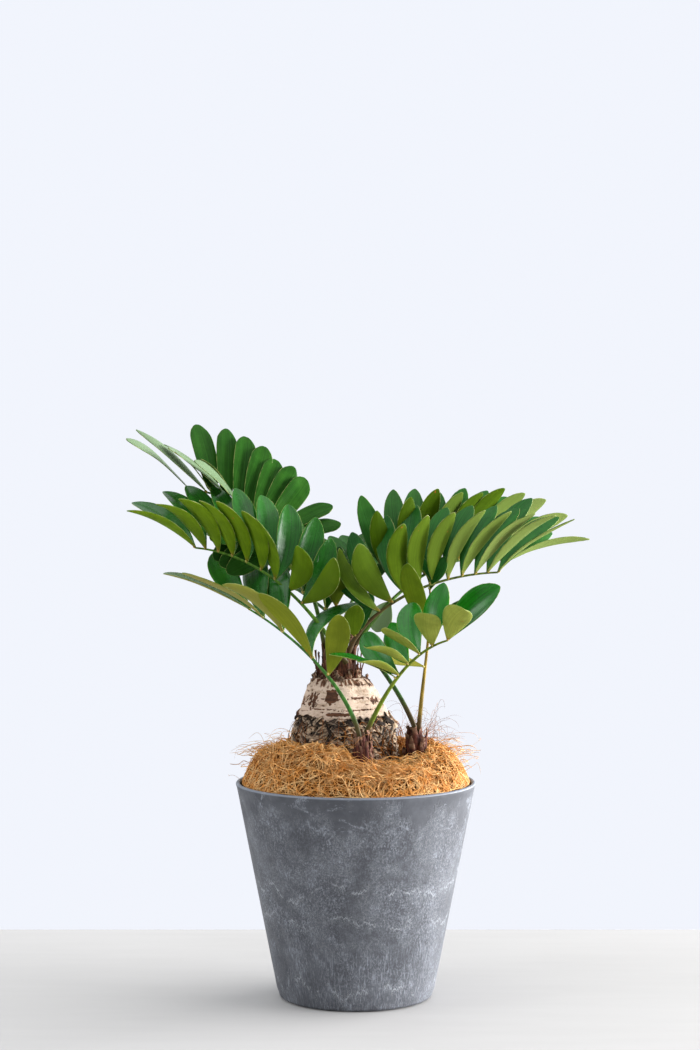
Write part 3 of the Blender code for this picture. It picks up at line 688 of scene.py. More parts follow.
def build_fronds():
    joint = cloudy_material("leaf_joint", 0.5, 0.4, 240, (0.36, 0.2, 0.035), (0.5, 0.44, 0.12))
    for number, (name, given) in enumerate(FRONDS.items()):
        frond = {**FROND_RULE, **given}
        for key in ("base", "length", "leaf", "width"):
            frond[key] = np.array(frond[key]) / 1000
        rng = np.random.default_rng(400 + number)
        upper, under, stalk = FROND_COLOURS[name]
        margin = tuple(0.4 * a + 0.6 * b for a, b in zip(upper, under))
        leaves = leaflet_list(frond)
        blades = Pile()
        for leaf in leaves:
            fine_leaflet(blades, leaf, rng)
        on_plant(blades.piece(name + "_leaflets", [
            leaf_upper_material(name + "_upper", upper, frond["gloss"]),
            leaf_under_material(name + "_under", under, frond["faded_and_painted_light"]),
            cloudy_material(name + "_margin", 0.6, 0.2, 120, margin, (0.3, 0.33, 0.1)),
        ]), "leaf", name)
        share, points = rib_line(frond, 84)
        start = points[0] - unit(points[1] - points[0]) * STALK_ROOT
        places = (0, frond["first"], 1)
        radii = np.interp(np.concatenate([[0], share]), places, (STALK_RADIUS, RIB_RADIUS, RIB_TIP_RADIUS))
        ribs = Pile()
        tube(ribs, np.vstack([start, points]), radii, 10, 0)
        for leaf in leaves:
            small = 0.001 if leaf["last"] else 0.0013
            foot = leaf["root"] + leaf["way"] * 0.0016
            knob(ribs, foot, leaf["way"], small, small * 1.9, rng.uniform(0, 1))
        skin = stalk_material(name + "_stalk", stalk, frond["brown"])
        on_plant(ribs.piece(name + "_stalk", [skin, joint]), "leaf", name)


# Trunk.

def trunk_wave(z, angle):
    z = max(z, TRUNK_HEIGHTS[2])
    slow = 0.028 * math.sin(2 * angle + 0.7) + 0.02 * math.sin(5 * angle + 31 * z)
    return slow + 0.016 * math.sin(9 * angle - 55 * z)


def trunk_radius(z):
    return np.interp(z, TRUNK_HEIGHTS, TRUNK_RADII)


def trunk_centre(z):
    return np.interp(z, TRUNK_HEIGHTS, TRUNK_CENTRES)


def bark_core(z, angle):
    """Radius of the bark's core, which lies in under the plates that stand on it."""
    worn = 0.0045 * math.exp(-(short_way(angle) / 0.7) ** 2) * limited((0.288 - z) / 0.012)
    inset = float(np.interp(z, (0.25, 0.28, 0.298), (0.0046, 0.0034, 0.0008))) + worn
    return (trunk_radius(z) - inset) * (1 + trunk_wave(z, angle))


def bump_at(angle, z, at_angle, at_z, wide, high, power=2):
    """A swelling with soft edges, as a share from 0 to 1."""
    return math.exp(-abs(short_way(angle - at_angle) / wide) ** power - abs((z - at_z) / high) ** power)


# Dark marks on the smooth bark: angle, height, half the width in degrees, half the height, how broken.
SCARS = (
    (-106, 0.3165, 11, 0.008, 0.5), (-96, 0.299, 21, 0.0019, 0.8), (-64, 0.315, 13, 0.001, 1.5),
    (-140, 0.3125, 9, 0.007, 2.2), (-66, 0.303, 26, 0.0006, 1.4), (-120, 0.304, 20, 0.0006, 1.6),
    (-30, 0.312, 12, 0.003, 1.6), (8, 0.306, 20, 0.0012, 1.2), (38, 0.316, 11, 0.007, 0.6),
    (70, 0.301, 24, 0.002, 0.9), (104, 0.314, 14, 0.0012, 1.5), (136, 0.316, 10, 0.0075, 0.8),
    (168, 0.304, 22, 0.0014, 1.2), (196, 0.31, 10, 0.005, 2.0),
)


def smooth_bark(angle, z, x, y):
    """Cream bark with the scars of old leaves in broken rings: its relief and its darkness."""
    rough = grit(x * 7, y * 7, z * 190)
    fine = grit(x * 26, y * 26, z * 620)
    ringed = z + 0.0014 * grit(x * 4, y * 4, z * 60)
    broken = grit(x * 7 + 9, y * 7, z * 90)
    ring = max(0.0, math.sin(ringed * 2 * math.pi / 0.0068) - 0.8)
    dark = 0.75 * min(1.0, ring * max(0.0, broken - 0.02) * 14)
    for at, height, wide, high, worn in SCARS:
        if abs(z - height) > high * 2.2:
            continue
        mark = bump_at(angle, z, math.radians(at), height, math.radians(wide), high, 4)
        if mark > 0.01:
            torn = grit(x * 17, y * 17, z * 300 + at) + 0.6 * fine
            dark = max(dark, limited((mark - 0.42 + worn * 0.75 * torn) * 4))
    ragged = 0.324 + 0.004 * grit(x * 3.4, y * 3.4 + 3, 5)
    top = limited((z - ragged) / 0.005)
    mottle = 0.42 + 1.3 * grit(x * 12, y * 12, z * 160)
    dark = min(1.0, dark + top * mottle)
    return 0.0005 * rough + 0.0002 * fine - 0.0011 * dark * (1 - top) + top * 0.002 * mottle, dark


def rough_bark(x, y, z):
    """Dark layers heaved up into swirling ledges with pale worn edges: their relief and darkness. The
    darkness deepens into the hollow at the foot of each ledge, painted shade on the bark's own dark.
    """
    warp = noise.noise_vector(Vector((x * 3, y * 3, z * 52)))
    curl = noise.noise_vector(Vector((x * 7.5 + 2, y * 7.5, z * 130)))
    layer = (z + 0.0075 * warp.z + 0.0022 * curl.z) / 0.0062 + 1.1 * warp.x
    step = layer - math.floor(layer)
    torn = grit(x * 9, y * 9, z * 75 + 5)
    fine = grit(x * 30, y * 30, z * 560)
    relief = (1 - step) ** 1.3 * (0.003 + 0.003 * torn) - 0.0012 + 0.0012 * curl.x + 0.0004 * fine
    # Dark grows with step, from a ledge's pale worn edge down into the hollow under the next: dark bark,
    # deepened there by painted shade.
    dark = 0.34 + 0.72 * step ** 1.6 - 0.75 * torn + 0.25 * fine
    dark -= 0.55 * math.exp(-((step - 0.1) / 0.07) ** 2) * (0.5 + torn)
    return relief, limited(dark)


def bark(angle, z):
    """Relief of the bark in metres, its darkness and how far up it counts as the smooth bark, both 0 to 1."""
    x, y = math.cos(angle), math.sin(angle)
    border = 0.2948 + 0.0042 * grit(x * 2.6, y * 2.6, 2)
    border += 0.0018 * grit(x * 11, y * 11, 6)
    border -= 0.003 * bump_at(angle, z, math.radians(-104), z, 0.28, 1)
    upper = limited((z - border) / 0.0012 + 0.5)
    pale, pale_dark = smooth_bark(angle, z, x, y) if upper > 0 else (0.0, 0.0)
    coarse, coarse_dark = rough_bark(x, y, z) if upper < 1 else (0.0, 0.0)
    edge = math.exp(-((z - border + 0.0012) / 0.0012) ** 2)
    relief = upper * pale + (1 - upper) * coarse + 0.0008 * edge
    relief += 0.0048 * bump_at(angle, z, math.pi, 0.2935, 0.085, 0.0075, 4)
    relief += 0.0032 * bump_at(angle, z, 0.03, 0.288, 0.1, 0.004, 4)
    dark = max(upper * pale_dark + (1 - upper) * coarse_dark, 0.85 * edge)
    dark = max(dark, bump_at(angle, z, math.pi, 0.293, 0.1, 0.009, 4))
    return relief, limited(dark), upper


def bark_material():
    m = Nodes("bark", 0.88, 0.15)
    place, shade = m.place(), m.own("shade")
    cloud = m.noise(place, (60, 60, 190), 6, 0.65)
    curl = m.noise(place, (80, 80, 150), 6, 0.7, 2.2, (0.3, 0.1, 0))
    speck = m.noise(place, 420, 3, 0.6)
    cream = m.between(cloud, 0.3, 0.53, (0.36, 0.245, 0.165), (0.63, 0.485, 0.385))
    cream = m.mix(m.ranged(speck, 0.61, 0.68, 0, 0.75), cream, (0.13, 0.07, 0.04))
    # shade is the darkness that bark() gives, painted shade in the hollows of the rough bark included; worn
    # adds the curl's swirls to it.
    worn = m.plus(shade, m.ranged(curl, 0.3, 0.7, 0.32, -0.32))
    low = m.between(worn, 0.05, 0.4, (0.66, 0.48, 0.32), (0.23, 0.14, 0.085))
    low = m.between(worn, 0.4, 0.8, low, (0.026, 0.017, 0.013))
    mark = m.between(cloud, 0.4, 0.6, (0.06, 0.028, 0.018), (0.15, 0.068, 0.038))
    m.colour(m.mix(m.own("upper"), low, m.between(shade, 0.25, 0.6, cream, mark)))
    m.bump(m.plus(m.plus(cloud, curl), m.times(speck, 0.4)), 0.0012, 0.9)
    return m.material


def build_trunk():
    # The swirls of the rough bark follow from this seed.
    noise.seed_set(BARK_SEED)
    points, dark, upper = [], [], []
    top = TRUNK_HEIGHTS[-1]
    for z in np.linspace(BARK_FOOT, top, BARK_ROWS):
        centre = trunk_centre(z)
        for angle in around(BARK_SIDES):
            relief, shade, pale = bark(angle, z)
            r = bark_core(z, angle) + relief
            points.append((centre + r * math.cos(angle), r * math.sin(angle), z))
            dark.append(shade)
            upper.append(pale)
    foot, head = [trunk_centre(TRUNK_HEIGHTS[0]), 0, BARK_FOOT], [trunk_centre(top), 0, top + 0.001]
    k = np.arange(BARK_SIDES)
    after = (k + 1) % BARK_SIDES
    last = (BARK_ROWS - 1) * BARK_SIDES
    middle = np.full(BARK_SIDES, len(points))
    caps = np.concatenate([
        np.stack([after, k, middle], 1), np.stack([last + k, last + after, middle + 1], 1),
    ])
    faces = ring_faces(BARK_ROWS, BARK_SIDES)
    piece = mesh_piece("trunk_bark", [*points, foot, head], [(faces, 0), (caps, 0)], [bark_material()])
    own_value(piece, "shade", [*dark, 1, 1])
    own_value(piece, "upper", [*upper, 0, 1])
    on_plant(piece, "bark", "trunk")
    build_plates()


def six_sided(pile, rings, edge, t, shade, slot=0):
    """A bar made of rings of six points, closed at both ends. Its grain runs by edge and by t."""
    rows = len(t)
    ends = np.array([[0, 1, 2, 3], [0, 3, 4, 5]])
    groups = [(ring_faces(rows, 6), slot), (ends[:, ::-1], slot), (ends + (rows - 1) * 6, slot)]
    pile.add(rings, groups, shade, np.stack([np.tile(edge, (rows, 1)), np.repeat(t[:, None], 6, 1)], 2))


def scale_blade(pile, foot, axis, out, length, width, thick, curve, rng, slot=0, point=0.12):
    """A narrow dry scale: a hollowed blade that tapers to a point and bends away from its axis."""
    axis = unit(axis)
    out = unit(out - axis * np.dot(out, axis))
    across = np.cross(axis, out)
    t = np.linspace(0, 1, 7)
    taper = np.maximum(np.interp(t, (0, 0.25, 0.6, 0.85, 1), (0.75, 1, 0.72, 0.38, 0)), point)
    lean = rng.uniform(-0.12, 0.12)
    centre = foot + np.outer(t, axis) * length + np.outer(t ** 2, out) * curve * length
    centre = centre + np.outer(np.sin(t * 2.4) * lean, across) * length * 0.35
    half = taper * width / 2
    deep = taper * width * 0.14
    ragged = rng.uniform(-0.0003, 0.0003, (7, 6, 3)) * (1 + 4 * t ** 5)[:, None, None]
    section = (
        (-1, -0.6, 0), (0, 0.75, 0.3), (1, -0.6, 0), (0.9, -0.9, -0.5), (0, 0.1, -0.6), (-0.9, -0.9, -0.5),
    )
    rings = np.stack([
        centre + across * (half * s)[:, None] + out * (deep * d)[:, None] + out * (thick * e)
        for s, d, e in section
    ], 1) + ragged * np.minimum(1, (t * 3))[:, None, None]
    six_sided(pile, rings[:, ::-1], np.arange(6) / 6, t, rng.uniform(0, 1), slot)


def scale_material(name, dark, light, tip):
    m = Nodes(name, 0.78, 0.12)
    place = m.place()
    streak = m.noise(place, (420, 420, 60), 5, 0.6)
    cloud = m.noise(place, 110)
    base = m.between(streak, 0.36, 0.66, dark, light)
    base = m.mix(m.times(m.own("shade"), 0.5), base, tint(dark, 0.5))
    dry = m.ranged(m.plus(m.axes(m.grain())["Y"], m.times(cloud, 0.5)), 0.95, 1.3, 0, 0.85)
    m.colour(m.mix(dry, base, tip))
    m.bump(m.plus(streak, cloud), 0.0006, 0.8)
    return m.material


def bark_plate(pile, angle, z, span, tilt, height, lift, rng):
    """A strip of loose bark that runs round the trunk at a slant, its lower edge standing off it."""
    t = np.linspace(0, 1, 8)
    turn = angle + (t - 0.5) * span
    curve = rng.uniform(-0.5, 0.5) * span * 0.055
    rise = z + tilt * span * 0.055 * (t - 0.5) + curve * (2 * t - 1) ** 2
    rise = np.clip(rise + 0.0008 * np.sin(t * rng.uniform(4, 10)), 0.242, 0.299)
    taper = np.sin(np.pi * np.clip(t * 0.94 + 0.03, 0, 1)) ** rng.uniform(0.35, 0.9)
    rings = []
    for z, angle, share in zip(rise, turn, taper):
        core = bark_core(z, angle)
        ragged = height * share * rng.uniform(0.65, 1.35)
        proud = lift * share * rng.uniform(0.6, 1.4)
        top, low = z + ragged * 0.5, z - ragged * 0.5
        section = (
            (core + 0.0004, top), (core + 0.0014 + proud * 0.45, top - ragged * 0.25),
            (core + 0.0018 + proud, low), (core + 0.001 + proud, low - 0.0003),
            (core + proud * 0.35, top - ragged * 0.4), (core - 0.0012, top - ragged * 0.1),
        )
        axis = np.array([trunk_centre(z), 0, 0])
        rings.append([axis + pointing(angle) * r + UP * h for r, h in section])
    six_sided(pile, np.array(rings), (0.15, 0.35, 1, 0.9, 0, 0), t, rng.uniform(0, 1))


def plate_material():
    m = Nodes("bark_plate", 0.9, 0.15)
    grain, shade = m.grain(), m.own("shade")
    stretched = m.node("ShaderNodeMapping", Vector=grain, Scale=(3, 1.6, 1)).outputs["Vector"]
    streak = m.noise(stretched, 1.6, 6, 0.7, 0.8)
    speck = m.noise(m.place(), 330, 3, 0.6)
    worn = m.plus(shade, m.ranged(streak, 0.32, 0.68, -0.3, 0.3))
    base = m.between(worn, 0.3, 0.62, (0.022, 0.015, 0.012), (0.13, 0.088, 0.062))
    base = m.between(worn, 0.62, 0.95, base, (0.5, 0.365, 0.245))
    rim = m.ranged(m.plus(m.axes(grain)["X"], m.times(speck, 0.6)), 0.95, 1.4)
    m.colour(m.mix(m.times(rim, m.ranged(shade, 0.2, 0.6, 0.15, 0.85)), base, (0.66, 0.53, 0.4)))
    m.bump(m.plus(streak, speck), 0.0008, 0.9)
    return m.material


def build_plates():
    """Loose strips of bark on the lower trunk, each lapping over the ones below."""
    rng = np.random.default_rng(77)
    pile = Pile()
    for _ in range(PLATES):
        z, angle = rng.uniform(0.246, 0.2925), rng.uniform(0, 2 * math.pi)
        span, height = rng.uniform(0.1, 0.42), rng.uniform(0.0022, 0.0062)
        bark_plate(pile, angle, z, span, rng.normal(0, 0.55), height, rng.uniform(0.0004, 0.003), rng)
    on_plant(pile.piece("trunk_plates", [plate_material()]), "bark")


# Neck and offshoots.

def stem(pile, centre, rows, sides, flutes):
    """The fluted core under the scales, from rows of height and radius."""
    turn = around(sides)
    rings = []
    for z, radius in rows:
        wave = 1
        for high, number, climb in flutes:
            wave = wave + high * np.sin(number * turn + climb * z)
        rings.append(circle(radius * wave, z, sides, centre))
    pile.add(rings, [(ring_faces(len(rings), sides), 0)], 0.9)


def whorls(pile, centre, rows, rng, start, sway, shift, slant, longest, width, curve):
    """Rings of scales that hug a core, each ring turned half a scale against the one below."""
    for row, (radius, z, count, length, lean, wide) in enumerate(rows):
        for k in range(count):
            angle = start + 2 * math.pi * (k + 0.5 * (row % 2)) / count
            if sway:
                angle += rng.uniform(-sway, sway)
            outward = pointing(angle)
            foot = np.array([*centre, z + rng.uniform(-shift, shift)]) + outward * radius
            axis = UP + outward * (lean + rng.uniform(-0.08, 0.1))
            axis = axis + sideways(angle) * rng.uniform(-slant, slant)
            scale_blade(
                pile, foot, axis, outward, length * rng.uniform(0.6, longest),
                wide * rng.uniform(*width), 0.001, rng.uniform(*curve), rng, 0, rng.uniform(0.15, 0.6),
            )


def build_neck():
    """The dry leaf scales that close round the foot of the upper fronds."""
    rng = np.random.default_rng(21)
    pile = Pile()
    stem(pile, NECK_CENTRE, (
        (0.329, 0), (0.329, 0.0262), (0.3335, 0.0215), (0.338, 0.0155), (0.346, 0.0138), (0.356, 0.013),
        (0.364, 0.0105), (0.366, 0),
    ), 40, ((0.05, 7, 80), (0.04, 13, 0)))
    whorls(pile, NECK_CENTRE, (
        (0.0185, 0.3285, 10, 0.03, -0.16, 0.013), (0.017, 0.331, 10, 0.037, -0.07, 0.013),
        (0.015, 0.335, 9, 0.038, -0.03, 0.012), (0.0122, 0.34, 8, 0.037, 0, 0.0105),
    ), rng, 0, 0.12, 0.003, 0.2, 1.15, (0.6, 1.2), (-0.05, 0.05))
    for _ in range(NECK_SCRAPS):
        angle, share = rng.uniform(0, 2 * math.pi), rng.uniform(0, 1)
        outward = pointing(angle)
        foot = np.array([*NECK_CENTRE, 0.3235 + 0.0125 * share]) + outward * (0.0305 - 0.01 * share)
        axis = UP + outward * rng.uniform(-0.9, 0.35)
        axis = axis + sideways(angle) * rng.normal(0, 0.5)
        scale_blade(
            pile, foot, axis, outward, rng.uniform(0.004, 0.011), rng.uniform(0.003, 0.0075), 0.0009,
            rng.uniform(-0.1, 0.3), rng, 1 if rng.uniform() < 0.4 else 0, rng.uniform(0.2, 0.9),
        )
    for degrees, z, length, lean in (
        (4, 0.334, 0.034, 0.02), (-20, 0.336, 0.028, -0.1), (-9, 0.334, 0.022, 0.24),
        (186, 0.333, 0.028, 0.02), (204, 0.331, 0.02, 0.24), (168, 0.335, 0.024, -0.12),
        (-48, 0.334, 0.019, 0.1), (228, 0.333, 0.018, 0.05), (80, 0.334, 0.026, 0), (120, 0.333, 0.021, 0.12),
    ):
        outward = pointing(math.radians(degrees))
        foot = np.array([*NECK_CENTRE, z]) + outward * 0.0225
        scale_blade(pile, foot, UP + outward * lean, outward, length, 0.003, 0.0008, 0.06, rng)
    dark = scale_material("neck_scale", (0.032, 0.012, 0.008), (0.17, 0.062, 0.032), (0.2, 0.105, 0.06))
    pale = scale_material("neck_stub", (0.17, 0.105, 0.066), (0.46, 0.34, 0.235), (0.1, 0.06, 0.04))
    on_plant(pile.piece("neck_scales", [dark, pale]), "scales", "neck")


def build_offshoots():
    material = scale_material(
        "offshoot_scale", (0.034, 0.011, 0.009), (0.15, 0.048, 0.032), (0.24, 0.135, 0.085),
    )
    for number, (name, centre, turn) in enumerate(OFFSHOOTS):
        rng = np.random.default_rng(60 + number)
        pile = Pile()
        stem(pile, centre, (
            (0.2225, 0), (0.2225, 0.0104), (0.24, 0.0106), (0.258, 0.0098), (0.268, 0.008), (0.276, 0.0056),
            (0.281, 0.004), (0.282, 0),
        ), 28, ((0.06, 6, 90),))
        whorls(pile, centre, (
            (0.0112, 0.234, 9, 0.024, 0.1, 1), (0.0106, 0.242, 8, 0.029, 0.02, 1),
            (0.0096, 0.249, 7, 0.031, -0.02, 1), (0.0076, 0.255, 6, 0.03, -0.02, 1),
            (0.0052, 0.261, 4, 0.026, 0.02, 1),
        ), rng, math.radians(turn), 0, 0.002, 0.14, 1.1, (0.008, 0.013), (-0.04, 0.06))
        on_plant(pile.piece(name + "_scales", [material]), "scales", name)


# Fibre.

# Humps of matted fibre: x, y, how wide and how high in millimetres, then in metres.
HUMPS = [[value / 1000 for value in hump] for hump in (
    (-80, -45, 24, 7.5), (-34, -72, 26, 12.5), (88, -36, 20, 4.5), (48, -90, 18, 7), (94, 20, 20, 3.5),
    (-96, 12, 20, 5.5), (-60, 78, 22, 6), (4, 92, 24, 5.5), (60, 70, 22, 6.5), (56, -64, 22, -13),
    (-66, -82, 15, 4.5), (64, -86, 15, 5.5), (0, -108, 13, 4), (-92, -20, 12, 4.5), (-48, -60, 12, 4.5),
    (106, -12, 12, 2), (-30, 100, 13, 4.5), (90, 58, 13, 4), (-88, 50, 13, 4.5),
)]


def mat_height(x, y):
    """Top of the fibre at a place: the mat's ring, lower in front of the trunk, with humps."""
    out = math.hypot(x, y)
    rise = float(np.interp(out, MAT_OUT, MAT_HEIGHTS)) + float(np.interp(out, MAT_OUT, MAT_PUFF)) - 0.004
    fade = float(np.interp(out, (0.098, 0.12), (1, 0.1)))
    rise -= 0.011 * (math.exp(-((x - 0.024) / 0.03) ** 2) * limited((-0.03 - y) / 0.03)) * fade
    lump = sum(high * math.exp(-((x - a) ** 2 + (y - b) ** 2) / wide ** 2) for a, b, wide, high in HUMPS)
    lump += 0.006 * grit(x * 38, y * 38, 1.7)
    lump += 0.0048 * grit(x * 95, y * 95, 4.1)
    return rise + lump * fade


mat_axis = np.linspace(-MAT_REACH, MAT_REACH, MAT_CELLS)
mat_grid = np.array([[mat_height(x, y) for y in mat_axis] for x in mat_axis])


def mat_heights(x, y):
    """The mat's height at many places at once."""
    i, j = (
        np.clip((place + MAT_REACH) / (2 * MAT_REACH) * (MAT_CELLS - 1), 0, MAT_CELLS - 1.001)
        for place in (x, y)
    )
    a, b = i.astype(int), j.astype(int)
    s, t = i - a, j - b
    low = mat_grid[a, b] * (1 - t) + mat_grid[a, b + 1] * t
    high = mat_grid[a + 1, b] * (1 - t) + mat_grid[a + 1, b + 1] * t
    return low * (1 - s) + high * s


def mat_slopes(x, y, step=0.002):
    return (
        (mat_heights(x + step, y) - mat_heights(x - step, y)) / (2 * step),
        (mat_heights(x, y + step) - mat_heights(x, y - step)) / (2 * step),
    )


def strands(name, lines, radius, material):
    """Thin three-sided fibres along many lines of points, tapered at both ends, as one piece."""
    count, steps, _ = lines.shape
    along = unit(np.gradient(lines, axis=1) + 1e-9)
    side = unit(np.cross(along, (0.21, 0.13, 0.97)) + 1e-9)
    other = np.cross(along, side)
    taper = np.interp(np.linspace(0, 1, steps), (0, 0.12, 0.85, 1), (0.45, 1, 0.9, 0.25))
    thick = (radius[:, None] * taper)[:, :, None, None]
    c, s = np.cos(around(3))[:, None], np.sin(around(3))[:, None]
    rings = lines[:, :, None] + thick * (c * side[:, :, None] + s * other[:, :, None])
    size = steps * 3
    shift = (np.arange(count) * size)[:, None, None]
    quads = (ring_faces(steps, 3) + shift).reshape(-1, 4)
    caps = (np.array([[2, 1, 0], [size - 3, size - 2, size - 1]]) + shift).reshape(-1, 3)
    piece = mesh_piece(name, rings.reshape(-1, 3), [(quads, 0), (caps, 0)], [material])
    rng = np.random.default_rng(len(name))
    own_value(piece, "shade", np.repeat(rng.uniform(0, 1, count), size))
    on_plant(piece, "coir")


def clear_of_trunk(lines):
    """Pushes points out of the trunk, level with where they are."""
    heights = np.clip(lines[..., 2], TRUNK_HEIGHTS[0], TRUNK_HEIGHTS[-1])
    centre = trunk_centre(heights)
    dx, dy = lines[..., 0] - centre, lines[..., 1]
    push = np.maximum((trunk_radius(heights) + 0.0022) / np.maximum(np.hypot(dx, dy), 1e-6), 1.0)
    push = np.where(lines[..., 2] < 0.331, push, 1.0)
    return np.stack([centre + dx * push, dy * push, lines[..., 2]], -1)


def lying_lines(rng, count, steps, length, curl, lift):
    """Curled lines that run over the mat's own slopes, weave over each other and stay inside the rim."""
    out = np.interp(rng.uniform(0, 1, count), (0, 0.26, 0.78, 1), (0.058, 0.084, 0.111, FIBRE_REACH))
    turn = rng.uniform(0, 2 * math.pi, count)
    x, y = out * np.cos(turn), out * np.sin(turn)
    heading = rng.uniform(0, 2 * math.pi, count)
    step = rng.uniform(*length, count) / steps
    bend = rng.normal(0, curl, count)
    sway, rate = rng.uniform(0, 2 * math.pi, count), rng.uniform(0.3, 1.1, count)
    xs, ys = [], []
    for k in range(steps):
        xs.append(x)
        ys.append(y)
        slope_x, slope_y = mat_slopes(x, y)
        reach = np.hypot(x, y)
        rx, ry = x / reach, y / reach
        level = np.cos(heading) / np.sqrt(1 + (slope_y * rx - slope_x * ry) ** 2)
        outward = np.sin(heading) / np.sqrt(1 + (slope_x * rx + slope_y * ry) ** 2)
        x = x + step * (rx * outward - ry * level)
        y = y + step * (ry * outward + rx * level)
        reach = np.hypot(x, y)
        held = np.clip(reach, 0.05, FIBRE_REACH)
        x, y = x * held / reach, y * held / reach
        back = ((reach > FIBRE_REACH) & (outward > 0)) | ((reach < 0.054) & (outward < 0))
        heading = np.where(back, -heading, heading) + bend * step + 0.1 * np.sin(rate * k + sway)
    px, py = np.stack(xs, 1), np.stack(ys, 1)
    share = np.linspace(0, 1, steps)
    weave = rng.uniform(0, 2 * math.pi, (count, 1))
    room = np.clip((0.125 - np.hypot(px, py)) / 0.015, 0.25, 1.0)
    above = rng.uniform(*lift, (count, 1)) * np.sin(math.pi * share) ** 0.5 - 0.001
    pz = mat_heights(px, py) + (above + 0.0012 * np.sin(11 * share + weave)) * room
    return clear_of_trunk(np.stack([px, py, pz], 2))


def stray_lines(rng, turn, out, spans, heights):
    """Long loose fibres that arch up out of the mat and over the rim."""
    count, steps = len(turn), 18
    x, y = (out * np.cos(turn))[:, None], (out * np.sin(turn))[:, None]
    heading = (turn + rng.normal(0, 1.0, count))[:, None]
    step = (rng.uniform(*spans, count) * rng.uniform(0.6, 1.0, count))[:, None] / steps
    height = (rng.uniform(*heights, count) * rng.uniform(0.4, 1.1, count))[:, None]
    t = np.linspace(0, 1, steps)
    bend, sway = rng.normal(0, 2.2, (count, 1)), rng.uniform(0, 6.3, (count, 1))
    angle = heading + bend * t + 0.5 * np.sin(5 * t + sway)
    px = x + np.cumsum(np.cos(angle) * step, 1)
    py = y + np.cumsum(np.sin(angle) * step, 1)
    fall = rng.uniform(0.05, 0.9, (count, 1))
    rise = height * np.sin(math.pi * np.clip(t * (0.5 + 0.5 * fall), 0, 1))
    pz = mat_heights(x, y) - 0.002 + rise + 0.0015 * np.sin(8 * t + sway)
    reach = np.hypot(px, py)
    held = np.minimum(reach, STRAY_REACH + 0.05 * np.maximum(reach - STRAY_REACH, 0.0))
    px, py = px * held / reach, py * held / reach
    pz = np.where(held > 0.116, np.maximum(pz, 0.2268 + 0.25 * np.maximum(held - 0.118, 0.0)), pz)
    return clear_of_trunk(np.stack([px, py, pz], 2))


def climbing_lines(rng, count, steps):
    """Fibres that lean on the foot of the trunk and cross its lower layers."""
    turn = rng.uniform(0, 2 * math.pi, count)[:, None]
    sweep = rng.normal(0, 0.75, count)[:, None]
    t = np.linspace(0, 1, steps)
    angle = turn + sweep * t
    top = rng.uniform(0.256, 0.3, count)[:, None]
    pz = 0.244 + (top - 0.244) * np.sin(math.pi * np.clip(t * rng.uniform(0.5, 1.0, (count, 1)), 0, 1))
    radius = trunk_radius(pz) + rng.uniform(0.0006, 0.003, (count, 1))
    radius = radius + 0.003 * np.sin(5 * t + turn) ** 2 - 0.004 * np.exp(-(angle / 0.7) ** 2)
    return np.stack([trunk_centre(pz) + radius * np.cos(angle), radius * np.sin(angle), pz], 2)


def bridging_lines(rng, count, steps):
    """Fibres that cross in front of the offshoots and the dark gap between them."""
    t = np.linspace(0, 1, steps)
    start, end = rng.uniform(-0.045, 0.05, (count, 1)), rng.uniform(-0.02, 0.085, (count, 1))
    px = start + (end - start) * t
    depth = rng.uniform(-0.105, -0.088, (count, 1))
    py = depth + 0.35 * np.maximum(px - 0.02, 0.0) + 0.004 * np.sin(6 * t + 40 * start)
    top, sag = rng.uniform(0.002, 0.02, (count, 1)), rng.uniform(0.7, 1.0, (count, 1))
    pz = mat_heights(px, py) - 0.001 + top * np.sin(math.pi * t * sag) + 0.0012 * np.sin(12 * t + 60 * end)
    return np.stack([px, py, pz], 2)


def fibre_material(name, dark, light):
    m = Nodes(name, 0.75, 0.15)
    cloud = m.noise(m.place(), 130, 3)
    base = m.between(cloud, 0.35, 0.65, dark, light)
    m.colour(m.mix(m.times(m.own("shade"), 0.75), base, tint(dark, 0.55)))
    m.bump(cloud, 0.0002, 0.4)
    return m.material


def mat_material():
    m = Nodes("coir_mat", 0.95, 0.1)
    place = m.place()
    strand = m.noise(place, (170, 170, 170), 6, 0.7, 1.6)
    # The bed under the fibres is dark brown with darker patches: painted shade in the gaps between the
    # strands.
    base = m.between(strand, 0.38, 0.62, (0.02, 0.008, 0.002), (0.15, 0.055, 0.011))
    m.colour(m.mix(m.ranged(m.noise(place, 60), 0.3, 0.7, 0, 0.4), base, (0.05, 0.02, 0.007)))
    m.bump(strand, 0.002, 1)
    return m.material


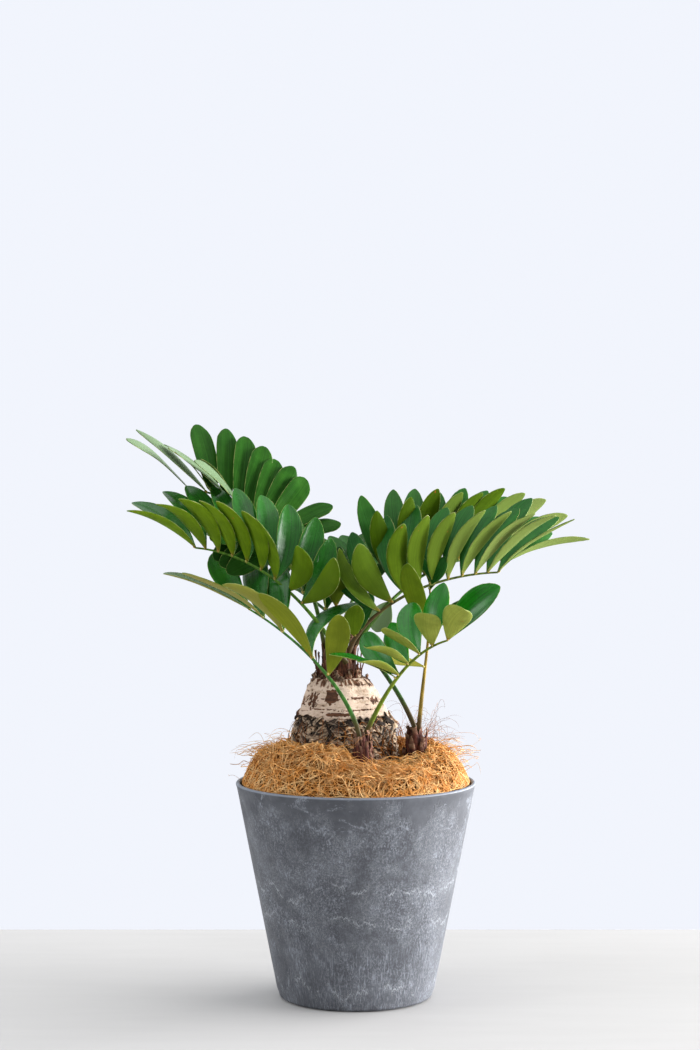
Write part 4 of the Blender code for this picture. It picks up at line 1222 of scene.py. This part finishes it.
def build_coir():
    sides, inner, outer = 160, 0.0575, 0.1195
    rows = []
    for share in np.linspace(0, 1, 26):
        out = inner + (outer - inner) * share
        x, y = out * np.cos(around(sides)), out * np.sin(around(sides))
        fine = np.array([grit(a * 150, b * 150, 7) for a, b in zip(x, y)])
        rows.append(circle(out, mat_heights(x, y) - 0.005 + 0.0018 * fine, sides))
    rows += [circle(r, z, sides) for r, z in ((0.1192, 0.2195), (0.116, 0.206), (0.058, 0.206))]
    k = np.arange(sides)
    after = (k + 1) % sides
    last = (len(rows) - 1) * sides
    faces = np.vstack([ring_faces(len(rows), sides), np.stack([last + k, last + after, after, k], 1)])
    mat = mesh_piece("coir_bed", np.concatenate(rows), [(faces[:, ::-1], 0)], [mat_material()])
    on_plant(mat, "coir", "coir_mat")
    rng = np.random.default_rng(5)
    # Three tones of fibre, darkest in the lowest layer and lightest in the top layer and the loops that arch
    # up: partly the fibre's own spread of colour, partly painted shade low in the mat and painted light on
    # top.
    light = fibre_material("fibre_light", (0.82, 0.355, 0.082), (0.97, 0.655, 0.305))
    middle = fibre_material("fibre_middle", (0.21, 0.062, 0.007), (0.46, 0.158, 0.022))
    dark = fibre_material("fibre_dark", (0.04, 0.012, 0.002), (0.14, 0.045, 0.008))
    for name, count, steps, length, curl, lift, radius, material in (
        ("coir_dark", 1900, 11, (0.03, 0.07), 45, (-0.0045, -0.001), (0.00032, 0.00055), dark),
        ("coir_middle", 1100, 18, (0.05, 0.11), 50, (-0.003, 0.002), (0.0003, 0.0005), middle),
        ("coir_light", 1150, 24, (0.07, 0.15), 50, (0, 0.007), (0.00031, 0.00062), light),
    ):
        lines = lying_lines(rng, count, steps, length, curl, lift)
        strands(name, lines, rng.uniform(*radius, count), material)
    for name, count, out, spans, heights, radius, material in (
        ("coir_loops", 420, (0.062, 0.108), (0.025, 0.06), (0.003, 0.01), (0.00024, 0.00045), light),
        ("coir_stray", 170, (0.066, 0.117), (0.02, 0.075), (0.003, 0.026), (0.00012, 0.00022), light),
        ("coir_tangle", 90, (0.056, 0.085), (0.03, 0.08), (0.015, 0.052), (0.0001, 0.00017), middle),
    ):
        # The tangle stands on the right. The others go all the way round.
        turn = rng.normal(0.55, 0.35, count) if name == "coir_tangle" else rng.uniform(0, 2 * math.pi, count)
        lines = stray_lines(rng, turn, rng.uniform(*out, count), spans, heights)
        strands(name, lines, rng.uniform(*radius, count), material)
    strands("coir_climbing", climbing_lines(rng, 90, 16), rng.uniform(0.00016, 0.00028, 90), middle)
    strands("coir_bridging", bridging_lines(rng, 130, 16), rng.uniform(0.00018, 0.00034, 130), light)


# Pot and soil.

def pot_radius(z):
    return POT_FOOT_RADIUS + (POT_RIM_RADIUS - POT_FOOT_RADIUS) * z / POT_HEIGHT


def pot_material():
    """Slate-grey clay, smooth below the lip, then scoured with fine pale scratches and ragged hairlines."""
    m = Nodes("weathered_pot", 0.6, 0.4)
    sides = m.axes(m.place())
    level = m.node("ShaderNodeCombineXYZ", X=sides["X"], Y=sides["Y"]).outputs[0]
    round_way = m.node("ShaderNodeVectorMath", Vector=level)
    round_way.operation = "NORMALIZE"
    turn, up = m.axes(round_way.outputs[0]), sides["Z"]
    skin = m.node("ShaderNodeCombineXYZ", X=turn["X"], Y=turn["Y"], Z=up).outputs[0]

    def field(across, upward, seed, detail=5, roughness=0.65, distortion=0):
        return m.noise(skin, (across, across, upward), detail, roughness, distortion, (seed, seed, 0))

    def layer(under, colour, value, low, high, most, mask):
        """Another colour over the one so far, where both a value and a mask are high."""
        return m.mix(m.times(m.ranged(value, low, high, 0, most), mask), under, colour)

    cloud = field(3, 26, 0)
    blotch = field(7, 60, 3, 7, 0.72, 0.5)
    fine = field(64, 380, 1, 5, 0.75)
    ends = m.math("MAXIMUM", m.ranged(up, 0.085, 0.06), m.ranged(up, 0.15, 0.19, 0, 0.8))
    upright = m.times(field(62, 95, 5, 5, 0.7), ends)
    stroke = m.plus(upright, m.times(field(34, 640, 6, 6, 0.72, 1.2), m.minus(1, ends)))
    scratch = field(95, 130, 8)
    worm = field(20, 175, 7, 6, 0.68, 1.4)
    thread = m.ranged(m.math("ABSOLUTE", m.minus(worm, 0.5)), 0, 0.022, 1, 0)
    border = m.plus(up, m.times(m.minus(field(2.6, 9, 2, 6), 0.5), 0.16))
    rough = m.times(m.minus(m.plus(stroke, fine), 1), 0.045)
    below = m.ranged(m.plus(border, rough), 0.208, 0.2)
    base = m.between(cloud, 0.36, 0.64, (0.064, 0.068, 0.08), (0.098, 0.104, 0.12))
    patch = m.ranged(field(2.1, 15, 11, 6), 0.42, 0.58, 0.22, 1)
    amount = m.times(m.times(m.ranged(blotch, 0.3, 0.66, 0.45, 1.15), patch), below)
    base = layer(base, (0.28, 0.3, 0.34), fine, 0.48, 0.62, 0.75, amount)
    base = layer(base, (0.3, 0.32, 0.37), stroke, 0.52, 0.66, 0.65, amount)
    base = layer(base, (0.26, 0.28, 0.32), blotch, 0.5, 0.72, 0.3, below)
    base = layer(base, (0.036, 0.038, 0.043), scratch, 0.56, 0.7, 0.35, below)
    flake = m.times(m.ranged(field(3.2, 48, 12, 8, 0.72, 0.8), 0.565, 0.605), m.ranged(up, 0.13, 0.17))
    base = layer(base, (0.31, 0.335, 0.38), fine, 0.4, 0.58, 0.62, flake)
    foot = m.times(m.ranged(up, 0.085, 0.05), m.ranged(cloud, 0.38, 0.58, 0.25, 1))
    base = layer(base, (0.3, 0.325, 0.37), upright, 0.5, 0.64, 0.5, foot)
    middle = m.times(m.ranged(up, 0.045, 0.075), below)
    base = layer(base, (0.4, 0.43, 0.46), cloud, 0.42, 0.62, 0.55, m.times(thread, middle))
    # Three ragged hairlines round the pot: height, how far it strays, how fast, pattern, strength.
    for centre, wide, scale, seed, strength in (
        (0.127, 0.044, 2.2, 1, 0.62), (0.094, 0.036, 2.8, 4, 0.5), (0.024, 0.044, 3.4, 9, 0.6),
    ):
        drift = m.noise(skin, (scale, scale, 0), 8, 0.62, 0, (seed, seed, seed))
        line = m.plus(centre, m.times(m.minus(drift, 0.5), wide * 2))
        away = m.math("ABSOLUTE", m.minus(m.plus(up, m.times(worm, 0.006)), line))
        web = m.times(thread, m.ranged(away, 0.002, 0.01, 0.9, 0))
        broken = m.ranged(field(5, 34, seed + 4, 6, 0.7), 0.43, 0.55)
        vein = m.times(m.math("MAXIMUM", m.ranged(away, 0, 0.0013, 1, 0), web), broken)
        base = m.mix(m.times(vein, strength), base, (0.5, 0.53, 0.56))
    # A pale blue-grey band round the top of the lip: a painted highlight on its rounded edge.
    m.colour(layer(base, (0.26, 0.29, 0.35), up, 0.2226, 0.2236, 1, 0.6))
    m.rough(m.ranged(blotch, 0.35, 0.7, 0.46, 0.7))
    height = m.plus(m.times(stroke, 0.5), m.plus(fine, m.times(thread, 0.3)))
    m.bump(m.times(height, below), 0.0006, 0.6)
    return m.material


def build_pot():
    foot, lip, sides = POT_FOOT_RADIUS - POT_FOOT_ROUND, POT_RIM_RADIUS - POT_LIP, 144
    outline = [(0, 0), (foot, 0)]
    for turn in np.radians(15 * np.arange(1, 7)):
        outline.append((foot + POT_FOOT_ROUND * math.sin(turn), POT_FOOT_ROUND * (1 - math.cos(turn))))
    outline += [(pot_radius(z), z) for z in np.linspace(0.01, 0.2195, 34)]
    for turn in np.radians(15 * np.arange(13) - 5):
        rise = POT_HEIGHT - POT_LIP_HEIGHT + POT_LIP_HEIGHT * math.sin(turn)
        outline.append((lip + POT_LIP * math.cos(turn), rise))
    outline += [(pot_radius(z) - POT_WALL, z) for z in (0.216, POT_FLOOR)]
    rings = [circle(r, z, sides) for r, z in [*outline, (0, POT_FLOOR)]]
    faces = ring_faces(len(rings), sides)
    piece = mesh_piece("pot_shell", np.concatenate(rings), [(faces, 0)], [pot_material()])
    on_plant(piece, "pot", "pot")
    soil = Nodes("potting_mix", 0.95, 0.2)
    crumb = soil.noise(soil.place(), 240, 6, 0.7)
    soil.colour(soil.between(crumb, 0.35, 0.65, (0.018, 0.012, 0.008), (0.09, 0.06, 0.035)))
    soil.bump(crumb, 0.002, 0.8)
    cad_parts["soil"].material_slots[0].material = soil.material


# Stage, light and camera.

def build_stage():
    top = Nodes("stage_floor", 0.75, 0.3)
    cloud = top.noise(top.place(), (6, 40, 1), 6, 0.6)
    top.colour(top.mix(cloud, (0.5, 0.488, 0.478), (0.555, 0.542, 0.532)))
    corners = [(x, y, -0.0006) for x, y in ((-7, -7), (7, -7), (7, 0.35), (-7, 0.35))]
    floor = mesh_piece("stage_floor", corners, [([[0, 1, 2, 3]], 0)], [top.material])
    world = bpy.data.worlds.new("studio")
    bpy.context.scene.world = world
    world.use_nodes = True
    nodes, links = world.node_tree.nodes, world.node_tree.links
    nodes.clear()
    seen, lit = nodes.new("ShaderNodeBackground"), nodes.new("ShaderNodeBackground")
    seen.inputs["Color"].default_value = (0.885, 0.912, 0.982, 1)
    seen.inputs["Strength"].default_value = 1.0
    lit.inputs["Color"].default_value = (0.93, 0.96, 1.0, 1)
    way = nodes.new("ShaderNodeSeparateXYZ")
    links.new(nodes.new("ShaderNodeTexCoord").outputs["Generated"], way.inputs[0])
    # The light of the room is stronger from the left, from behind and from above.
    level = None
    for axis, share in (("X", -0.2), ("Y", 0.3), ("Z", 0.16)):
        part = nodes.new("ShaderNodeMath")
        part.operation = "MULTIPLY_ADD"
        links.new(way.outputs[axis], part.inputs[0])
        part.inputs[1].default_value = share
        part.inputs[2].default_value = 0.66
        if level is not None:
            links.new(level, part.inputs[2])
        level = part.outputs[0]
    part.use_clamp = True
    links.new(level, lit.inputs["Strength"])
    pick = nodes.new("ShaderNodeMixShader")
    links.new(nodes.new("ShaderNodeLightPath").outputs["Is Camera Ray"], pick.inputs[0])
    links.new(lit.outputs[0], pick.inputs[1])
    links.new(seen.outputs[0], pick.inputs[2])
    links.new(pick.outputs[0], nodes.new("ShaderNodeOutputWorld").inputs["Surface"])


def add_light(name, place, aim, size, power, colour):
    data = bpy.data.lights.new(name, "AREA")
    data.shape = "RECTANGLE"
    data.size, data.size_y = size
    data.energy = power
    data.color = colour
    lamp = bpy.data.objects.new(name, data)
    lamp.location = place
    lamp.rotation_euler = (Vector(aim) - Vector(place)).to_track_quat("-Z", "Y").to_euler()
    bpy.context.scene.collection.objects.link(lamp)


def build_lights_and_camera():
    add_light("window_right", (5.5, 1.1, 1.06), (0, 0, 0.28), (9.8, 2.68), 1560, (0.99, 0.99, 1.0))
    add_light("window_left", (-3.2, -1.1, 1.5), (0, 0, 0.4), (1.2, 2.2), 34, (0.96, 0.98, 1.0))
    add_light("overhead", (0.0, -0.2, 2.3), (0, 0, 0.35), (2.0, 2.0), 16, (0.97, 0.98, 1.0))
    data = bpy.data.cameras.new("camera")
    data.sensor_width = 36.0
    data.lens = 2580 / 1050 * 36.0
    data.clip_start, data.clip_end = 0.05, 60
    camera = bpy.data.objects.new("camera", data)
    camera.location = (-0.006, -2.68, 0.6)
    camera.rotation_euler = (math.radians(90 - 2.3), 0, 0)
    scene = bpy.context.scene
    scene.collection.objects.link(camera)
    scene.camera = camera
    scene.view_settings.view_transform = "Standard"
    scene.view_settings.look = "None"


build_pot()
build_coir()
build_trunk()
build_neck()
build_offshoots()
build_fronds()
build_stage()
build_lights_and_camera()
